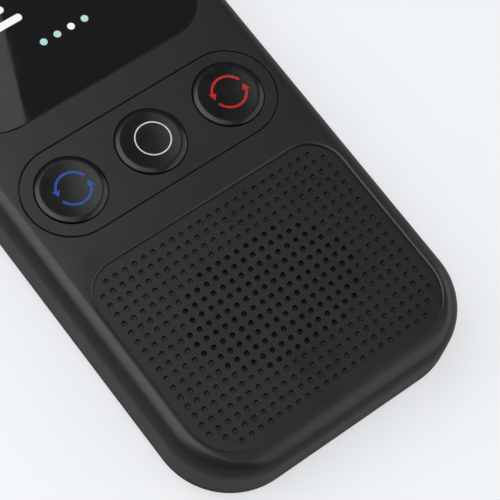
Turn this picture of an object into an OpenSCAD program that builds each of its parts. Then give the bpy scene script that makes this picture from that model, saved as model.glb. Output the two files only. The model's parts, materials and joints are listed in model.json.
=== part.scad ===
// Handheld translator: a flat bar-shaped case that lies on its back.
// +Z points out of the face, +Y towards the screen end. The origin is the centre of the back.

/* [Case] */
// Width across the side walls
body_w = 54; // [53:0.5:58]
// Length from end to end
body_l = 138; // [137:1:150]
// Thickness from back to face
body_t = 12.5; // [12.4:0.1:14]
// Radius of the four corners in plan
corner_r = 12.5; // [11.5:0.5:14]
// Wall of the side, end and back mouldings
wall = 1.2; // [1:0.05:1.3]
// Thickness of the face moulding
face_wall = 1.2; // [1:0.05:1.3]
// Radius of the shoulder between face and side wall
shoulder_r = 4.5; // [4:0.1:5]
// How far the flat face stops short of the side wall
shoulder_inset = 2.5; // [2.2:0.1:2.6]
// Radius of the rounded edge of the rear cover
back_round_r = 3; // [2:0.1:3.1]
// Height of the seam between housing and rear cover
seam_z = 3.2; // [3.1:0.05:3.3]
// Height of the hairline groove at the seam
seam_gap = 0.08; // [0.04:0.02:0.14]
// Length over which the face curves down at the speaker end
end_curve_l = 10; // [8:0.5:13]
// Radius of that curve
end_curve_r = 40; // [35:1:60]
// Radius of the soft edge at the speaker end
end_round_r = 3.5; // [3:0.1:4]

/* [Rear cover fit] */
// Thickness of the lip that stands inside the housing
lip_t = 0.9; // [0.7:0.05:1]
// How far the lip rises above the seam
lip_rise = 1; // [0.9:0.05:1.05]
// Gap between the lip and the housing
lip_gap = 0.05; // [0.03:0.01:0.08]
// Number of snap beads along each side
snap_count = 4; // [3:1:5]
// Length of a snap bead
snap_l = 4; // [3:0.5:5]
// How far a snap bead stands out from the lip
snap_depth = 0.4; // [0.3:0.05:0.5]
// Height of a snap bead
snap_h = 0.5; // [0.4:0.05:0.6]
// Distance of the outer snap beads from the ends
snap_from_end = 21; // [20:0.5:22]

/* [Speaker grille] */
// Length of face left between the grille recess and the end
recess_from_end = 3.8; // [3.6:0.1:5.6]
// Width of flat face left beside the grille recess
recess_margin = 0.85; // [0.7:0.05:1.2]
// Length of the grille recess
recess_l = 36.8; // [35:0.1:37.5]
// Corner radius of the grille recess
recess_r = 6; // [5:0.25:7]
// Depth of the grille recess below the face
recess_depth = 0.5; // [0.3:0.05:0.7]
// How far the recess wall flares out at the face
recess_flare = 0.35; // [0.2:0.05:0.45]
// Thickness of the grille plate
plate_t = 0.8; // [0.7:0.05:1]
// Distance between neighbouring grille holes
hole_pitch = 1.8; // [1.7:0.05:2.2]
// Diameter of the grille holes
hole_d = 0.94; // [0.7:0.02:1.2]
// Depth of the blind holes round the sound opening
dimple_depth = 0.45; // [0.3:0.05:0.55]
// Distance from the edge of the plate to the centre of the outermost holes
hole_edge = 1.8; // [1.6:0.05:2.2]
// Corner radius of the hole field towards the keys
field_top_r = 4.5; // [4:0.1:6]
// Corner radius of the hole field towards the end
field_end_r = 4.2; // [4:0.1:6]
// How far the open holes reach past the opening above the speaker
sound_margin = 0.1; // [0:0.05:0.15]

/* [Speaker] */
// Width of the speaker's flange
speaker_w = 32; // [31.8:0.1:32.6]
// Length of the speaker's flange
speaker_l = 22; // [21.8:0.1:22.6]
// Height of the speaker from flange to magnet
speaker_h = 4.8; // [4.6:0.1:5.2]
// Thickness of the speaker's flange
flange_t = 0.5; // [0.4:0.05:0.6]
// Width of the ledge that the speaker's flange seats on
seat_w = 0.8; // [0.6:0.05:0.9]
// Width of the rim round the diaphragm
rim_w = 1.8; // [1.6:0.1:2.1]
// Depth of the basket below the flange
basket_h = 2.1; // [1.8:0.1:2.3]
// Diameter of the magnet
magnet_d = 16; // [14:0.5:17]
// Diameter of the voice coil
coil_d = 10; // [9:0.5:11]
// Thickness of the dust mesh
mesh_t = 0.15; // [0.1:0.01:0.2]
// Thickness of the foam gasket
gasket_t = 0.5; // [0.4:0.05:0.6]
// Thickness of the bed that carries the grille plate
bed_t = 1; // [0.9:0.05:1.1]
// Thickness of the fence round the speaker
fence_t = 0.8; // [0.7:0.05:0.9]
// Depth of the fence below the bed
fence_h = 2; // [1.6:0.1:2.3]
// Thickness of the bracket behind the magnet
bracket_t = 1; // [0.9:0.05:1.1]
// Width of the bracket's bar
bracket_bar = 5; // [4.5:0.1:7]
// Distance of the bracket's screws from the speaker's flange
bracket_screw_gap = 3.6; // [3.3:0.1:4.2]

/* [Keys] */
// Distance between the grille recess and the key bezel
keys_from_recess = 5.38; // [5.2:0.02:6.2]
// Distance of the key bezel's ends from the side walls
bezel_from_side = 3.55; // [3:0.05:4]
// Height of the oval key bezel
bezel_h = 15.85; // [15.5:0.05:16.5]
// Thickness of the key bezel
bezel_t = 1; // [0.9:0.05:1.05]
// Gap round the key bezel
bezel_gap = 0.06; // [0.04:0.01:0.1]
// Width of bezel left beside the outer keys
key_margin = 2.2; // [2:0.05:2.6]
// Diameter of a key's cap
key_d = 11.7; // [11:0.1:11.9]
// Gap between a key and the bezel
key_gap = 0.2; // [0.15:0.01:0.25]
// How far a key stands above the bezel
key_proud = 0.5; // [0.4:0.05:0.8]
// Width of the sloping rim of a key
key_rim = 0.85; // [0.6:0.05:1]
// Height of the sloping rim of a key
key_rim_h = 0.45; // [0.3:0.05:0.6]
// Depth of the dish in the middle of a key
dish_depth = 0.4; // [0.2:0.05:0.45]
// Travel of a key
key_travel = 0.4; // [0.3:0.02:0.42]
// Extra radius of the flange that keeps a key in
key_flange_w = 0.6; // [0.5:0.05:0.65]
// Thickness of a key's flange
key_flange_t = 0.5; // [0.4:0.05:0.55]
// Diameter of a key's stem
stem_d = 3; // [2.8:0.1:3.4]
// Running clearance round a sliding stem or plunger
run_gap = 0.08; // [0.05:0.01:0.09]
// Thickness of the floor under the key wells
well_floor = 0.8; // [0.7:0.05:0.85]
// Width of the moulding round the key wells
block_rim = 1; // [0.8:0.05:1.1]

/* [Key switches] */
// Side of a key switch
switch_side = 6; // [5:0.25:6.5]
// Height of a key switch
switch_h = 1.1; // [1:0.05:1.2]
// Diameter of a switch plunger
plunger_d = 2; // [1.8:0.1:2.2]
// Length of a switch plunger inside its switch
plunger_sunk = 0.45; // [0.4:0.01:0.5]

/* [Screen] */
// Distance of the cover glass from the side walls
glass_from_side = 4; // [3.5:0.1:4.6]
// Distance of the cover glass from the screen end
glass_from_end = 9.8; // [9:0.1:12]
// Corner radius of the cover glass
glass_r = 7.8; // [6:0.2:9]
// Thickness of the cover glass
glass_t = 1.1; // [0.9:0.05:1.15]
// Gap round the cover glass
glass_gap = 0.08; // [0.05:0.01:0.12]
// Distance between the key bezel and the cover glass
glass_from_keys = 5.37; // [5.2:0.05:6]
// Thickness of the adhesive under the glass
adhesive_t = 0.15; // [0.1:0.01:0.2]
// Distance of the adhesive from the edges it lies between
adhesive_inset = 0.25; // [0.1:0.05:0.3]
// Thickness of the ledge that carries the glass
ledge_t = 0.85; // [0.75:0.05:0.9]
// Border between the display panel and the glass's long edges
display_side_border = 3; // [2.6:0.1:4]
// Border between the display panel and the glass's short edges
display_end_border = 3.5; // [3:0.1:5]
// Thickness of the display panel
display_t = 1.8; // [1.6:0.05:1.9]
// Sheet thickness of the display tray
tray_t = 0.3; // [0.2:0.05:0.35]
// Depth of the display tray
tray_h = 1.6; // [1.2:0.1:1.8]
// Gap between the panel and its tray
tray_gap = 0.1; // [0.05:0.01:0.15]
// Gap between the tray and the ledge
ledge_gap = 0.3; // [0.2:0.05:0.35]
// Width of the display's ribbon
ribbon_w = 12; // [10:0.5:14]
// Thickness of a ribbon
ribbon_t = 0.12; // [0.1:0.01:0.15]

/* [Main board] */
// Depth of the board's front surface below the face
board_depth = 4.4; // [4.35:0.05:4.5]
// Thickness of the board
board_t = 0.8; // [0.7:0.05:1]
// Gap between the board and the side walls
board_side_gap = 4.3; // [4:0.1:4.5]
// Gap between the board and the screen end wall
board_end_gap = 4.3; // [4:0.1:4.6]
// Overhang of the board below the middle of the key row
board_below_keys = 13.9; // [13.2:0.1:14.5]
// Side of the processor's shield can
processor_side = 26; // [20:0.5:27]
// Width of the radio's shield can
radio_w = 18; // [14:0.5:20]
// Length of the radio's shield can
radio_l = 16; // [12:0.5:17]
// Distance of the radio's shield can from the board's speaker end
radio_from_low = 10; // [9:0.5:12]
// Distance between the two shield cans
shield_spacing = 4; // [2:0.5:6]
// Depth of the shield cans
shield_h = 1.25; // [1:0.05:1.4]
// Sheet thickness of the shield cans
shield_t = 0.2; // [0.15:0.05:0.3]
// Width of the antenna film
antenna_w = 32; // [24:1:34]
// Length of the antenna film
antenna_l = 5.2; // [4:0.2:6]
// Thickness of the antenna film
antenna_t = 0.2; // [0.15:0.05:0.3]
// Diameter of the screw bosses
boss_d = 4; // [3.6:0.1:4.2]
// Diameter of the screw shanks
screw_d = 1.6; // [1.4:0.1:2]
// Diameter of the screw heads
screw_head_d = 2.8; // [2.6:0.1:3.2]
// Height of the screw heads
screw_head_h = 0.7; // [0.6:0.05:0.8]
// Length of the screw shanks
screw_l = 3; // [2.6:0.1:3.2]

/* [Battery] */
// Width of the battery
battery_w = 38; // [36:0.5:38.6]
// Length of the battery
battery_l = 58; // [50:1:66]
// Distance of the battery from the board's speaker end
battery_from_low = 1; // [0.5:0.5:6]
// Gap between the battery and the shield cans
battery_clear = 0.8; // [0.4:0.1:1.4]
// Thickness of the foam pad under the battery
pad_t = 0.15; // [0.1:0.01:0.2]
// Height of the fence round the battery
battery_fence_h = 1.7; // [1:0.1:2]
// Thickness of that fence
battery_fence_t = 0.9; // [0.7:0.1:1]
// Distance of the battery's plug from the right side wall
plug_from_side = 15; // [14:0.5:16]
// Distance of the battery's plug from the battery
plug_from_battery = 6; // [5:0.5:8]
// Width of the battery's ribbon
battery_ribbon_w = 6; // [4:0.5:7]

/* [Charging socket] */
// Width of the socket's shell
usb_w = 8.94; // [8.9:0.01:9]
// Height of the socket's shell
usb_h = 3.2; // [3.16:0.01:3.24]
// Depth of the socket's shell
usb_l = 7.3; // [6.5:0.1:8]
// Sheet thickness of the socket's shell
usb_wall = 0.3; // [0.25:0.01:0.32]
// How far the socket's mouth lies inside the end
usb_inset = 0.3; // [0.1:0.05:0.5]
// Gap round the socket in the housing
usb_gap = 0.12; // [0.08:0.01:0.2]

/* [Microphones] */
// Distance of each microphone from its side wall
mic_from_side = 16; // [15.5:0.25:17.5]
// Diameter of the sound holes
mic_hole_d = 1; // [0.8:0.1:1.2]
// Width of a microphone
mic_w = 3.8; // [3.4:0.1:4]
// Length of a microphone
mic_l = 3; // [2.6:0.1:3.2]
// Height of a microphone
mic_h = 1.1; // [1:0.05:1.2]
// Width of a microphone's rubber boot
boot_w = 4.8; // [4.4:0.1:5]

/* [Camera and lamp] */
// Distance of the camera from the left side wall
camera_from_side = 15; // [14.5:0.5:16]
// Distance of the camera from the screen end
camera_from_end = 15; // [14.8:0.1:17]
// Side of the camera module
camera_side = 8.5; // [7.5:0.25:8.7]
// Height of the camera module's base
camera_base_h = 3; // [2.6:0.1:3.2]
// Diameter of the camera's barrel
barrel_d = 6.5; // [6:0.1:7]
// Diameter of the camera's window
window_d = 8; // [7.4:0.1:8.4]
// Thickness of the camera's window
window_t = 0.7; // [0.5:0.05:0.75]
// Width of the ring round the window
ring_w = 1.1; // [0.8:0.1:1.3]
// Depth of ring, window and lamp lens behind the back
back_inset = 0.1; // [0.05:0.05:0.2]
// Distance from the camera to the lamp
lamp_from_camera = 9.5; // [9:0.25:10.5]
// Diameter of the lamp's lens
lamp_d = 3.4; // [3:0.1:3.8]

/* [Side keys] */
// Distance of the power key from the screen end
power_from_end = 34; // [32:0.5:38]
// Distance of the volume key from the screen end
volume_from_end = 38; // [36.5:0.5:38.5]
// Length of the power key
power_l = 11; // [9:0.5:12]
// Length of the volume key
volume_l = 20; // [18.5:0.5:20.5]
// Height of the side keys
side_key_h = 3.2; // [2.8:0.1:3.3]
// How far the side keys stand out
side_key_proud = 0.35; // [0.2:0.05:0.6]
// Gap round the side keys
side_key_gap = 0.1; // [0.08:0.01:0.15]
// Travel of the power key
power_travel = 0.3; // [0.2:0.02:0.34]
// Tilt of the volume key each way, in degrees
volume_tilt = 1.2; // [0.8:0.1:1.4]
// Thickness of a side key's flange
side_flange_t = 0.7; // [0.6:0.05:0.75]
// How far a side key's flange reaches past its cap
side_flange_w = 0.4; // [0.3:0.05:0.45]
// Radius of the volume key's pivot
pivot_r = 0.6; // [0.5:0.05:0.7]
// Distance of each volume switch from the pivot
volume_switch_y = 6.5; // [6:0.25:7]
// Length of a side switch
side_switch_l = 4.4; // [4:0.1:4.6]
// Width of a side switch
side_switch_w = 3.2; // [3:0.1:3.3]
// Height of a side switch
side_switch_h = 2; // [1.9:0.05:2.1]

/* [Hidden] */
$fn = 64;
eps = 0.01;
cut = 1;
case_grey = "#36373a";
cover_grey = "#303134";
grille_grey = "#2f3033";
key_grey = "#2c2d30";
glass_black = "#161618";
metal = "#b8bcc0";
gold = "#c9a24a";
board_green = "#1f5a3a";
part_black = "#1a1a1c";

face_z = body_t;
end_top = body_l / 2;
end_low = -body_l / 2;
side_x = body_w / 2;
shoulder_drop = sqrt(pow(shoulder_r, 2) - pow(shoulder_r - shoulder_inset, 2));
shoulder_z = face_z - shoulder_drop;
inner_side_x = side_x - wall;
inner_end_top = end_top - wall;
inner_r = corner_r - wall;

curve_start_y = end_low + end_curve_l;
round_y = end_low + end_round_r;
curve_z = face_z - end_curve_r;
round_z = curve_z + sqrt(pow(end_curve_r - end_round_r, 2) - pow(curve_start_y - round_y, 2));
curve_end_angle = asin((curve_start_y - round_y) / (end_curve_r - end_round_r));
curve_steps = 8;
round_steps = 10;

speaker_y = end_low + recess_from_end + recess_l / 2;
keys_y = speaker_y + recess_l / 2 + keys_from_recess + bezel_h / 2;
glass_low = keys_y + bezel_h / 2 + glass_from_keys;
glass_top = end_top - glass_from_end;
glass_y = (glass_low + glass_top) / 2;

recess_w = body_w - 2 * (shoulder_inset + recess_margin);
recess_z = face_z - recess_depth;
plate_z = recess_z - plate_t;
plate_gap = 0.06;
bed_z = plate_z - bed_t;
opening_w = speaker_w - 2 * seat_w;
opening_l = speaker_l - 2 * seat_w;
sound_w = opening_w + 2 * sound_margin;
sound_l = opening_l + 2 * sound_margin;
field_x = recess_w / 2 - hole_edge;
field_y = recess_l / 2 - hole_edge;
hole_cols = floor(field_x / hole_pitch);
hole_rows = floor(field_y / hole_pitch);

gasket_z = bed_z - gasket_t;
flange_z = gasket_z - flange_t;
basket_z = flange_z - basket_h;
magnet_z = gasket_z - speaker_h;
bracket_z = magnet_z - bracket_t;
cone_w = speaker_w - 2 * rim_w;
cone_l = speaker_l - 2 * rim_w;
cone_gap = 0.1;
cone_t = 0.3;
speaker_gap = 0.15;
speaker_ribbon_w = 4;
ribbon_notch_w = speaker_ribbon_w + 1.2;
bracket_screw_x = speaker_w / 2 + bracket_screw_gap;
bracket_pad_inset = 2;
bracket_pad_d = magnet_d - 2 * bracket_pad_inset;

bezel_w = body_w - 2 * bezel_from_side;
key_pitch = bezel_w / 2 - key_margin - key_d / 2;
bezel_z = face_z - bezel_t;
bezel_clear = 0.05;
well_play = 0.1;
key_flange_r = key_d / 2 + key_flange_w;
key_flange_z = bezel_z - bezel_clear - key_flange_t;
well_z = key_flange_z - key_travel - well_play;
well_r = key_flange_r + key_gap;
block_z = well_z - well_floor;
stem_z = block_z - bezel_clear;
key_xs = [-key_pitch, 0, key_pitch];

glass_w = body_w - 2 * glass_from_side;
glass_l = glass_top - glass_low;
display_w = glass_w - 2 * display_side_border;
display_l = glass_l - 2 * display_end_border;
glass_z = face_z - glass_t;
ledge_z = glass_z - adhesive_t;
ledge_low_z = ledge_z - ledge_t;
display_z = glass_z - display_t;
tray_z = display_z - tray_t;
tray_w = display_w + 2 * (tray_gap + tray_t);
tray_l = display_l + 2 * (tray_gap + tray_t);
window_w = tray_w + 2 * ledge_gap;
window_l = tray_l + 2 * ledge_gap;
frame_rim = 1.2;
tray_r = 3;
connector_h = 0.9;
connector_slot = 0.25;
connector_l = 3;
connector_margin = 1;
connector_w = ribbon_w + 2 * connector_margin;
connector_y = glass_y - display_l / 2 + 1.3;

board_z = face_z - board_depth;
board_low_z = board_z - board_t;
board_w = body_w - 2 * (wall + board_side_gap);
board_top = inner_end_top - board_end_gap;
board_low = keys_y - board_below_keys;
board_r = 2;
boss_inset = 2.5;
boss_key_inset = 7.5;
boss_top_inset = 4.5;
boss_key_x = board_w / 2 - boss_key_inset;
boss_mid_y = glass_low - 1.2;
boss_top_y = glass_top + 0.7;
boss_top_x = board_w / 2 - boss_top_inset;
board_screws_at = [
    for (side = [-1, 1]) each [
        [side * boss_key_x, board_low + boss_inset],
        [side * (board_w / 2 - boss_inset), boss_mid_y],
        [side * boss_top_x, boss_top_y]
    ]
];
bracket_screws_at = [for (side = [-1, 1]) [side * bracket_screw_x, speaker_y]];

switch_z = board_z + switch_h;
plunger_z = switch_z - plunger_sunk;
switch_floor = 0.15;

radio_x = 5;
radio_y = board_low + radio_from_low + radio_l / 2;
processor_y = radio_y + radio_l / 2 + shield_spacing + processor_side / 2;
antenna_y = inner_end_top - lip_gap - lip_t - 0.8 - antenna_l / 2;

battery_y = board_low + battery_from_low + battery_l / 2;
battery_z = wall + pad_t;
battery_t = board_low_z - shield_h - battery_clear - battery_z;
battery_gap = 0.1;
battery_r = 1.2;
pad_margin = 3;
battery_end = battery_y + battery_l / 2;
plug_y = battery_end + plug_from_battery;
plug_x = side_x - plug_from_side;
plug_w = battery_ribbon_w + 2 * connector_margin;
plug_l = 3;
plug_h = 1;

usb_z = board_low_z - usb_h / 2;
usb_mouth_y = end_top - usb_inset;
mic_x = side_x - mic_from_side;
mic_z = board_low_z - mic_h / 2;
mic_y = board_top - 0.3 - mic_l / 2;
boot_h = 1.4;

camera_y = end_top - camera_from_end;
camera_at = [camera_from_side - side_x, camera_y];
lamp_at = [camera_at.x + lamp_from_camera, camera_y];
ring_d = window_d + 2 * ring_w;
ring_lip = 0.6;
ring_lip_t = 0.3;
back_gap = 0.05;
barrel_z = wall + ring_lip_t + 0.3;
lens_d = 4;
lens_t = 0.9;
lens_gap = 0.2;
led_side = 2.4;
led_h = 0.8;
lamp_flange_w = 0.8;
lamp_flange_t = 0.6;

side_key_z = board_low_z - side_switch_h / 2;
power_y = end_top - power_from_end;
volume_y = end_top - volume_from_end;
power_back = 0.1;
volume_play = 0.18;
volume_back = (volume_l / 2 + side_flange_w) * tan(volume_tilt) + volume_play;
pivot_x = inner_side_x - 1.2;
pusher_x = inner_side_x - 1.4;
pusher_d = 1.8;
side_switch_x = pusher_x - 1;
side_plunger_in = 1;
side_plunger_r = 0.7;
side_plunger_gap = 0.12;
side_bore_play = 0.1;
side_bore_l = side_plunger_in + power_travel + side_bore_play;
ear_t = 0.7;
ear_gap = 0.2;
ear_w = 2.6;
side_flange_h = side_key_h + 2 * side_flange_w;
rocker_reach = side_flange_h / 2 + ear_gap + ear_t;
notch_extra = 1;
notch_gap = 0.2;
back_land = 0.1;
lip_top = seam_z + lip_rise;
snap_z = seam_z + 0.3;
snap_step = (body_l - 2 * snap_from_end) / (snap_count - 1);
snap_ys = [for (i = [0 : snap_count - 1]) end_low + snap_from_end + i * snap_step];
snap_play = 0.1;

// ---- outlines ----

// Flat oval with its long side along X.
module oval(w, h) {
    for (side = [-1, 1]) {
        translate([side * (w - h) / 2, 0]) circle(d = h);
    }
    square([w - h, h], center = true);
}

// Rectangle with round corners.
module round_rect(w, l, r) {
    square([w - 2 * r, l], center = true);
    square([w, l - 2 * r], center = true);
    for (x = [-1, 1], y = [-1, 1]) {
        translate([x * (w / 2 - r), y * (l / 2 - r)]) circle(r);
    }
}

// Block with a round-cornered outline between two heights.
module slab(w, l, r, z_low, z_high) {
    translate([0, 0, z_low]) linear_extrude(z_high - z_low) round_rect(w, l, r);
}

// Oval block between two heights.
module oval_slab(w, h, z_low, z_high) {
    translate([0, 0, z_low]) linear_extrude(z_high - z_low) oval(w, h);
}

// Oval ring between two heights.
module oval_ring(w, h, rim, z_low, z_high) {
    translate([0, 0, z_low]) linear_extrude(z_high - z_low) difference() {
        oval(w, h);
        oval(w - 2 * rim, h - 2 * rim);
    }
}

// Carries a section round a rounded rectangle. The section's X runs outwards from the
// centre line of the corners, its Y is the height, and the middle is filled.
module rim_sweep(w, l, r, z_low, z_high) {
    for (side = [0, 1]) {
        mirror([side, 0, 0]) translate([w / 2 - r, 0, 0])
            rotate([90, 0, 0]) linear_extrude(l - 2 * r, center = true) children();
        mirror([0, side, 0]) translate([0, l / 2 - r, 0])
            rotate([90, 0, 90]) linear_extrude(w - 2 * r, center = true) children();
    }
    for (x = [0, 1], y = [0, 1]) {
        mirror([x, 0, 0]) mirror([0, y, 0]) translate([w / 2 - r, l / 2 - r, 0])
            rotate_extrude(angle = 90) children();
    }
    translate([r - w / 2, r - l / 2, z_low]) cube([w - 2 * r, l - 2 * r, z_high - z_low]);
}

// Section of a case edge: flat top, rounded shoulder, straight wall.
module shoulder_section(reach, r, z_low, z_round, z_high) {
    flat = reach - r + sqrt(pow(r, 2) - pow(z_high - z_round, 2));
    translate([0, z_low]) square([reach, z_round - z_low]);
    translate([0, z_low]) square([flat, z_high - z_low]);
    intersection() {
        translate([reach - r, z_round]) circle(r);
        translate([0, z_low]) square([reach, z_high - z_low]);
    }
}

// Section of the rear cover's edge: flat back, quarter round, short wall.
module back_section(reach, r, z_high) {
    translate([0, r]) square([reach, z_high - r]);
    square([reach - r, z_high]);
    intersection() {
        translate([reach - r, r]) circle(r);
        square([reach, r]);
    }
}

// Side view of the housing: the face curves down to a soft edge at the speaker end.
function curve_points() = [
    for (i = [0 : curve_steps])
        let (a = curve_end_angle * i / curve_steps)
        [curve_start_y - end_curve_r * sin(a), curve_z + end_curve_r * cos(a)]
];
function round_points() = [
    for (i = [1 : round_steps])
        let (a = curve_end_angle + (90 - curve_end_angle) * i / round_steps)
        [round_y - end_round_r * sin(a), round_z + end_round_r * cos(a)]
];

module side_view() {
    polygon(concat(
        [[end_top + cut, -cut], [end_top + cut, face_z + cut], [curve_start_y, face_z + cut]],
        curve_points(),
        round_points(),
        [[end_low - cut, round_z], [end_low - cut, -cut]]
    ));
}

module side_view_block() {
    rotate([90, 0, 90]) linear_extrude(body_w + 2 * cut, center = true) side_view();
}

// ---- front housing ----

module housing_outside() {
    intersection() {
        rim_sweep(body_w, body_l, corner_r, seam_z, face_z)
            shoulder_section(corner_r, shoulder_r, seam_z, shoulder_z, face_z);
        side_view_block();
    }
}

module housing_inside() {
    low = seam_z - cut;
    ceiling = face_z - face_wall;
    intersection() {
        rim_sweep(body_w - 2 * wall, body_l - 2 * wall, inner_r, low, ceiling)
            shoulder_section(inner_r, shoulder_r - wall, low, shoulder_z, ceiling);
        translate([0, wall, -wall]) side_view_block();
    }
}

// Ledge under the cover glass.
module glass_frame() {
    translate([0, glass_y, 0])
        slab(glass_w + 2 * frame_rim, glass_l + 2 * frame_rim, glass_r, ledge_low_z, bezel_z);
}

// Thick moulding that holds the key wells.
module key_block() {
    translate([0, keys_y, 0])
        oval_slab(bezel_w + 2 * block_rim, bezel_h + 2 * block_rim, block_z, bezel_z + eps);
}

// Bed under the grille plate, with a fence that locates the speaker.
module grille_bed() {
    translate([0, speaker_y, 0]) {
        slab(recess_w + 2 * face_wall, recess_l + 2 * face_wall, recess_r, bed_z, plate_z + eps);
        oval_ring(speaker_w + 2 * (speaker_gap + fence_t), speaker_l + 2 * (speaker_gap + fence_t),
            fence_t, bed_z - fence_h, bed_z + eps);
    }
}

module bosses() {
    for (at = board_screws_at) {
        translate([at.x, at.y, board_z]) cylinder(d = boss_d, h = face_z - face_wall - board_z + eps);
    }
    for (at = bracket_screws_at) {
        translate([at.x, at.y, magnet_z]) cylinder(d = boss_d, h = bed_z - magnet_z + eps);
    }
}

// Two ears inside the wall that carry the volume key's pivot.
module rocker_ears() {
    for (side = [-1, 1]) {
        ear_z = side_key_z + side * (side_flange_h / 2 + ear_gap + ear_t / 2);
        translate([-(pivot_x + inner_side_x + lip_t - pivot_r) / 2, volume_y, ear_z])
            cube([inner_side_x + lip_t - pivot_x + pivot_r, ear_w, ear_t], center = true);
    }
}

module key_wells() {
    for (x = key_xs) {
        translate([x, keys_y, well_z]) cylinder(r = well_r, h = bezel_z - well_z + cut);
        translate([x, keys_y, block_z - cut])
            cylinder(d = stem_d + 2 * run_gap, h = well_floor + 2 * cut);
    }
}

// Opening for the grille: a pocket for the plate, flared where it meets the face.
module grille_recess() {
    flared_w = recess_w + 2 * recess_flare;
    flared_l = recess_l + 2 * recess_flare;
    flared_r = recess_r + recess_flare;
    top = face_z + recess_depth;
    translate([0, speaker_y, 0]) {
        slab(recess_w, recess_l, recess_r, plate_z, top);
        rim_sweep(flared_w, flared_l, flared_r, recess_z, top) polygon([
            [0, recess_z],
            [recess_r, recess_z],
            [flared_r, face_z],
            [flared_r, top],
            [0, top]
        ]);
        oval_slab(opening_w, opening_l, bed_z - cut, plate_z + cut);
    }
}

module screw_holes() {
    pilot_r = screw_d / 2;
    for (at = board_screws_at) {
        translate([at.x, at.y, board_z - cut]) cylinder(r = pilot_r, h = screw_l - board_t + cut);
    }
    for (at = bracket_screws_at) {
        translate([at.x, at.y, magnet_z - cut]) cylinder(r = pilot_r, h = screw_l - bracket_t + cut);
    }
}

// Slot through the side wall for a key: side is 1 on the right and -1 on the left.
module side_slot(side, y, l) {
    translate([side * (inner_side_x + wall / 2), y, side_key_z]) rotate([90, 0, 90])
        linear_extrude(wall + 2 * cut, center = true)
            oval(l + 2 * side_key_gap, side_key_h + 2 * side_key_gap);
}

module end_openings() {
    translate([0, end_top, usb_z]) rotate([90, 0, 0])
        linear_extrude(2 * (wall + cut), center = true)
            round_rect(usb_w + 2 * usb_gap, usb_h + 2 * usb_gap, usb_h / 2 + usb_gap - eps);
    for (side = [-1, 1]) {
        translate([side * mic_x, end_top + cut, mic_z]) rotate([90, 0, 0])
            cylinder(d = mic_hole_d, h = wall + 2 * cut);
    }
}

// The snap beads, or their pockets when play is above zero.
module snaps(play) {
    root_x = inner_side_x - lip_gap - lip_t / 2;
    reach = lip_t / 2 + lip_gap + snap_depth + play;
    for (side = [0, 1], y = snap_ys) {
        mirror([side, 0, 0]) translate([root_x, y - snap_l / 2 - play, snap_z - play])
            cube([reach, snap_l + 2 * play, snap_h + 2 * play]);
    }
}

module front_housing() {
    color(case_grey) difference() {
        union() {
            difference() {
                housing_outside();
                housing_inside();
            }
            intersection() {
                housing_outside();
                union() {
                    glass_frame();
                    key_block();
                    grille_bed();
                    bosses();
                    rocker_ears();
                }
            }
        }
        translate([0, glass_y, 0]) {
            slab(glass_w + 2 * glass_gap, glass_l + 2 * glass_gap, glass_r + glass_gap,
                ledge_z, face_z + cut);
            slab(window_w, window_l, tray_r + ledge_gap, ledge_low_z - cut, face_z);
        }
        translate([0, keys_y, 0])
            oval_slab(bezel_w + 2 * bezel_gap, bezel_h + 2 * bezel_gap, bezel_z, face_z + cut);
        key_wells();
        grille_recess();
        screw_holes();
        side_slot(1, power_y, power_l);
        side_slot(-1, volume_y, volume_l);
        end_openings();
        snaps(snap_play);
        translate([-pivot_x, volume_y, side_key_z])
            cylinder(r = pivot_r + run_gap, h = 2 * (rocker_reach + run_gap), center = true);
        translate([-ribbon_notch_w / 2, speaker_y + speaker_l / 2 - cut, bed_z - fence_h - cut])
            cube([ribbon_notch_w, fence_t + 2 * cut, fence_h - gasket_t + cut]);
    }
}

// ---- rear cover ----

module rear_cover() {
    rim = wall + lip_gap + lip_t;
    top = seam_z - seam_gap;
    round_r = min(back_round_r, top - back_land);
    lip_w = body_w - 2 * (wall + lip_gap);
    lip_l = body_l - 2 * (wall + lip_gap);
    color(cover_grey) difference() {
        union() {
            rim_sweep(body_w, body_l, corner_r, 0, top) back_section(corner_r, round_r, top);
            slab(lip_w, lip_l, corner_r - wall - lip_gap, wall, lip_top);
            intersection() {
                snaps(0);
                slab(body_w, body_l, corner_r, wall, lip_top);
            }
        }
        slab(body_w - 2 * rim, body_l - 2 * rim, corner_r - rim, wall, lip_top + cut);
        lip_notches();
        cover_holes();
        end_openings();
    }
    color(cover_grey) battery_fence();
}

// The lip stops short of the side keys and of the charging socket.
module lip_notches() {
    extra = side_flange_w + notch_extra;
    depth = lip_t + lip_gap + cut;
    key_low = min(seam_z, side_key_z - rocker_reach - notch_gap);
    usb_low = min(seam_z, usb_z - usb_h / 2 - notch_gap);
    translate([inner_side_x - depth, power_y - power_l / 2 - extra, key_low])
        cube([depth, power_l + 2 * extra, lip_top + cut - key_low]);
    translate([-inner_side_x, volume_y - volume_l / 2 - extra, key_low])
        cube([depth, volume_l + 2 * extra, lip_top + cut - key_low]);
    translate([-usb_w / 2 - notch_extra, inner_end_top - depth, usb_low])
        cube([usb_w + 2 * notch_extra, depth, lip_top + cut - usb_low]);
}

module cover_holes() {
    translate([camera_at.x, camera_at.y, -cut])
        cylinder(r = ring_d / 2 + back_gap, h = wall + 2 * cut);
    translate([lamp_at.x, lamp_at.y, -cut])
        cylinder(r = lamp_d / 2 + back_gap, h = wall + 2 * cut);
}

module battery_fence() {
    outer = 2 * (battery_gap + battery_fence_t);
    inner = 2 * battery_gap;
    fence_top = wall + battery_fence_h;
    difference() {
        translate([0, battery_y, 0])
            slab(battery_w + outer, battery_l + outer, 1, wall - eps, fence_top);
        translate([0, battery_y, wall / 2 + cut])
            cube([battery_w + inner, battery_l + inner, 2 * cut], center = true);
        translate([0, battery_y, fence_top])
            cube([battery_w + inner, battery_l + inner, 2 * battery_fence_h], center = true);
    }
}

// ---- speaker ----

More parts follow.
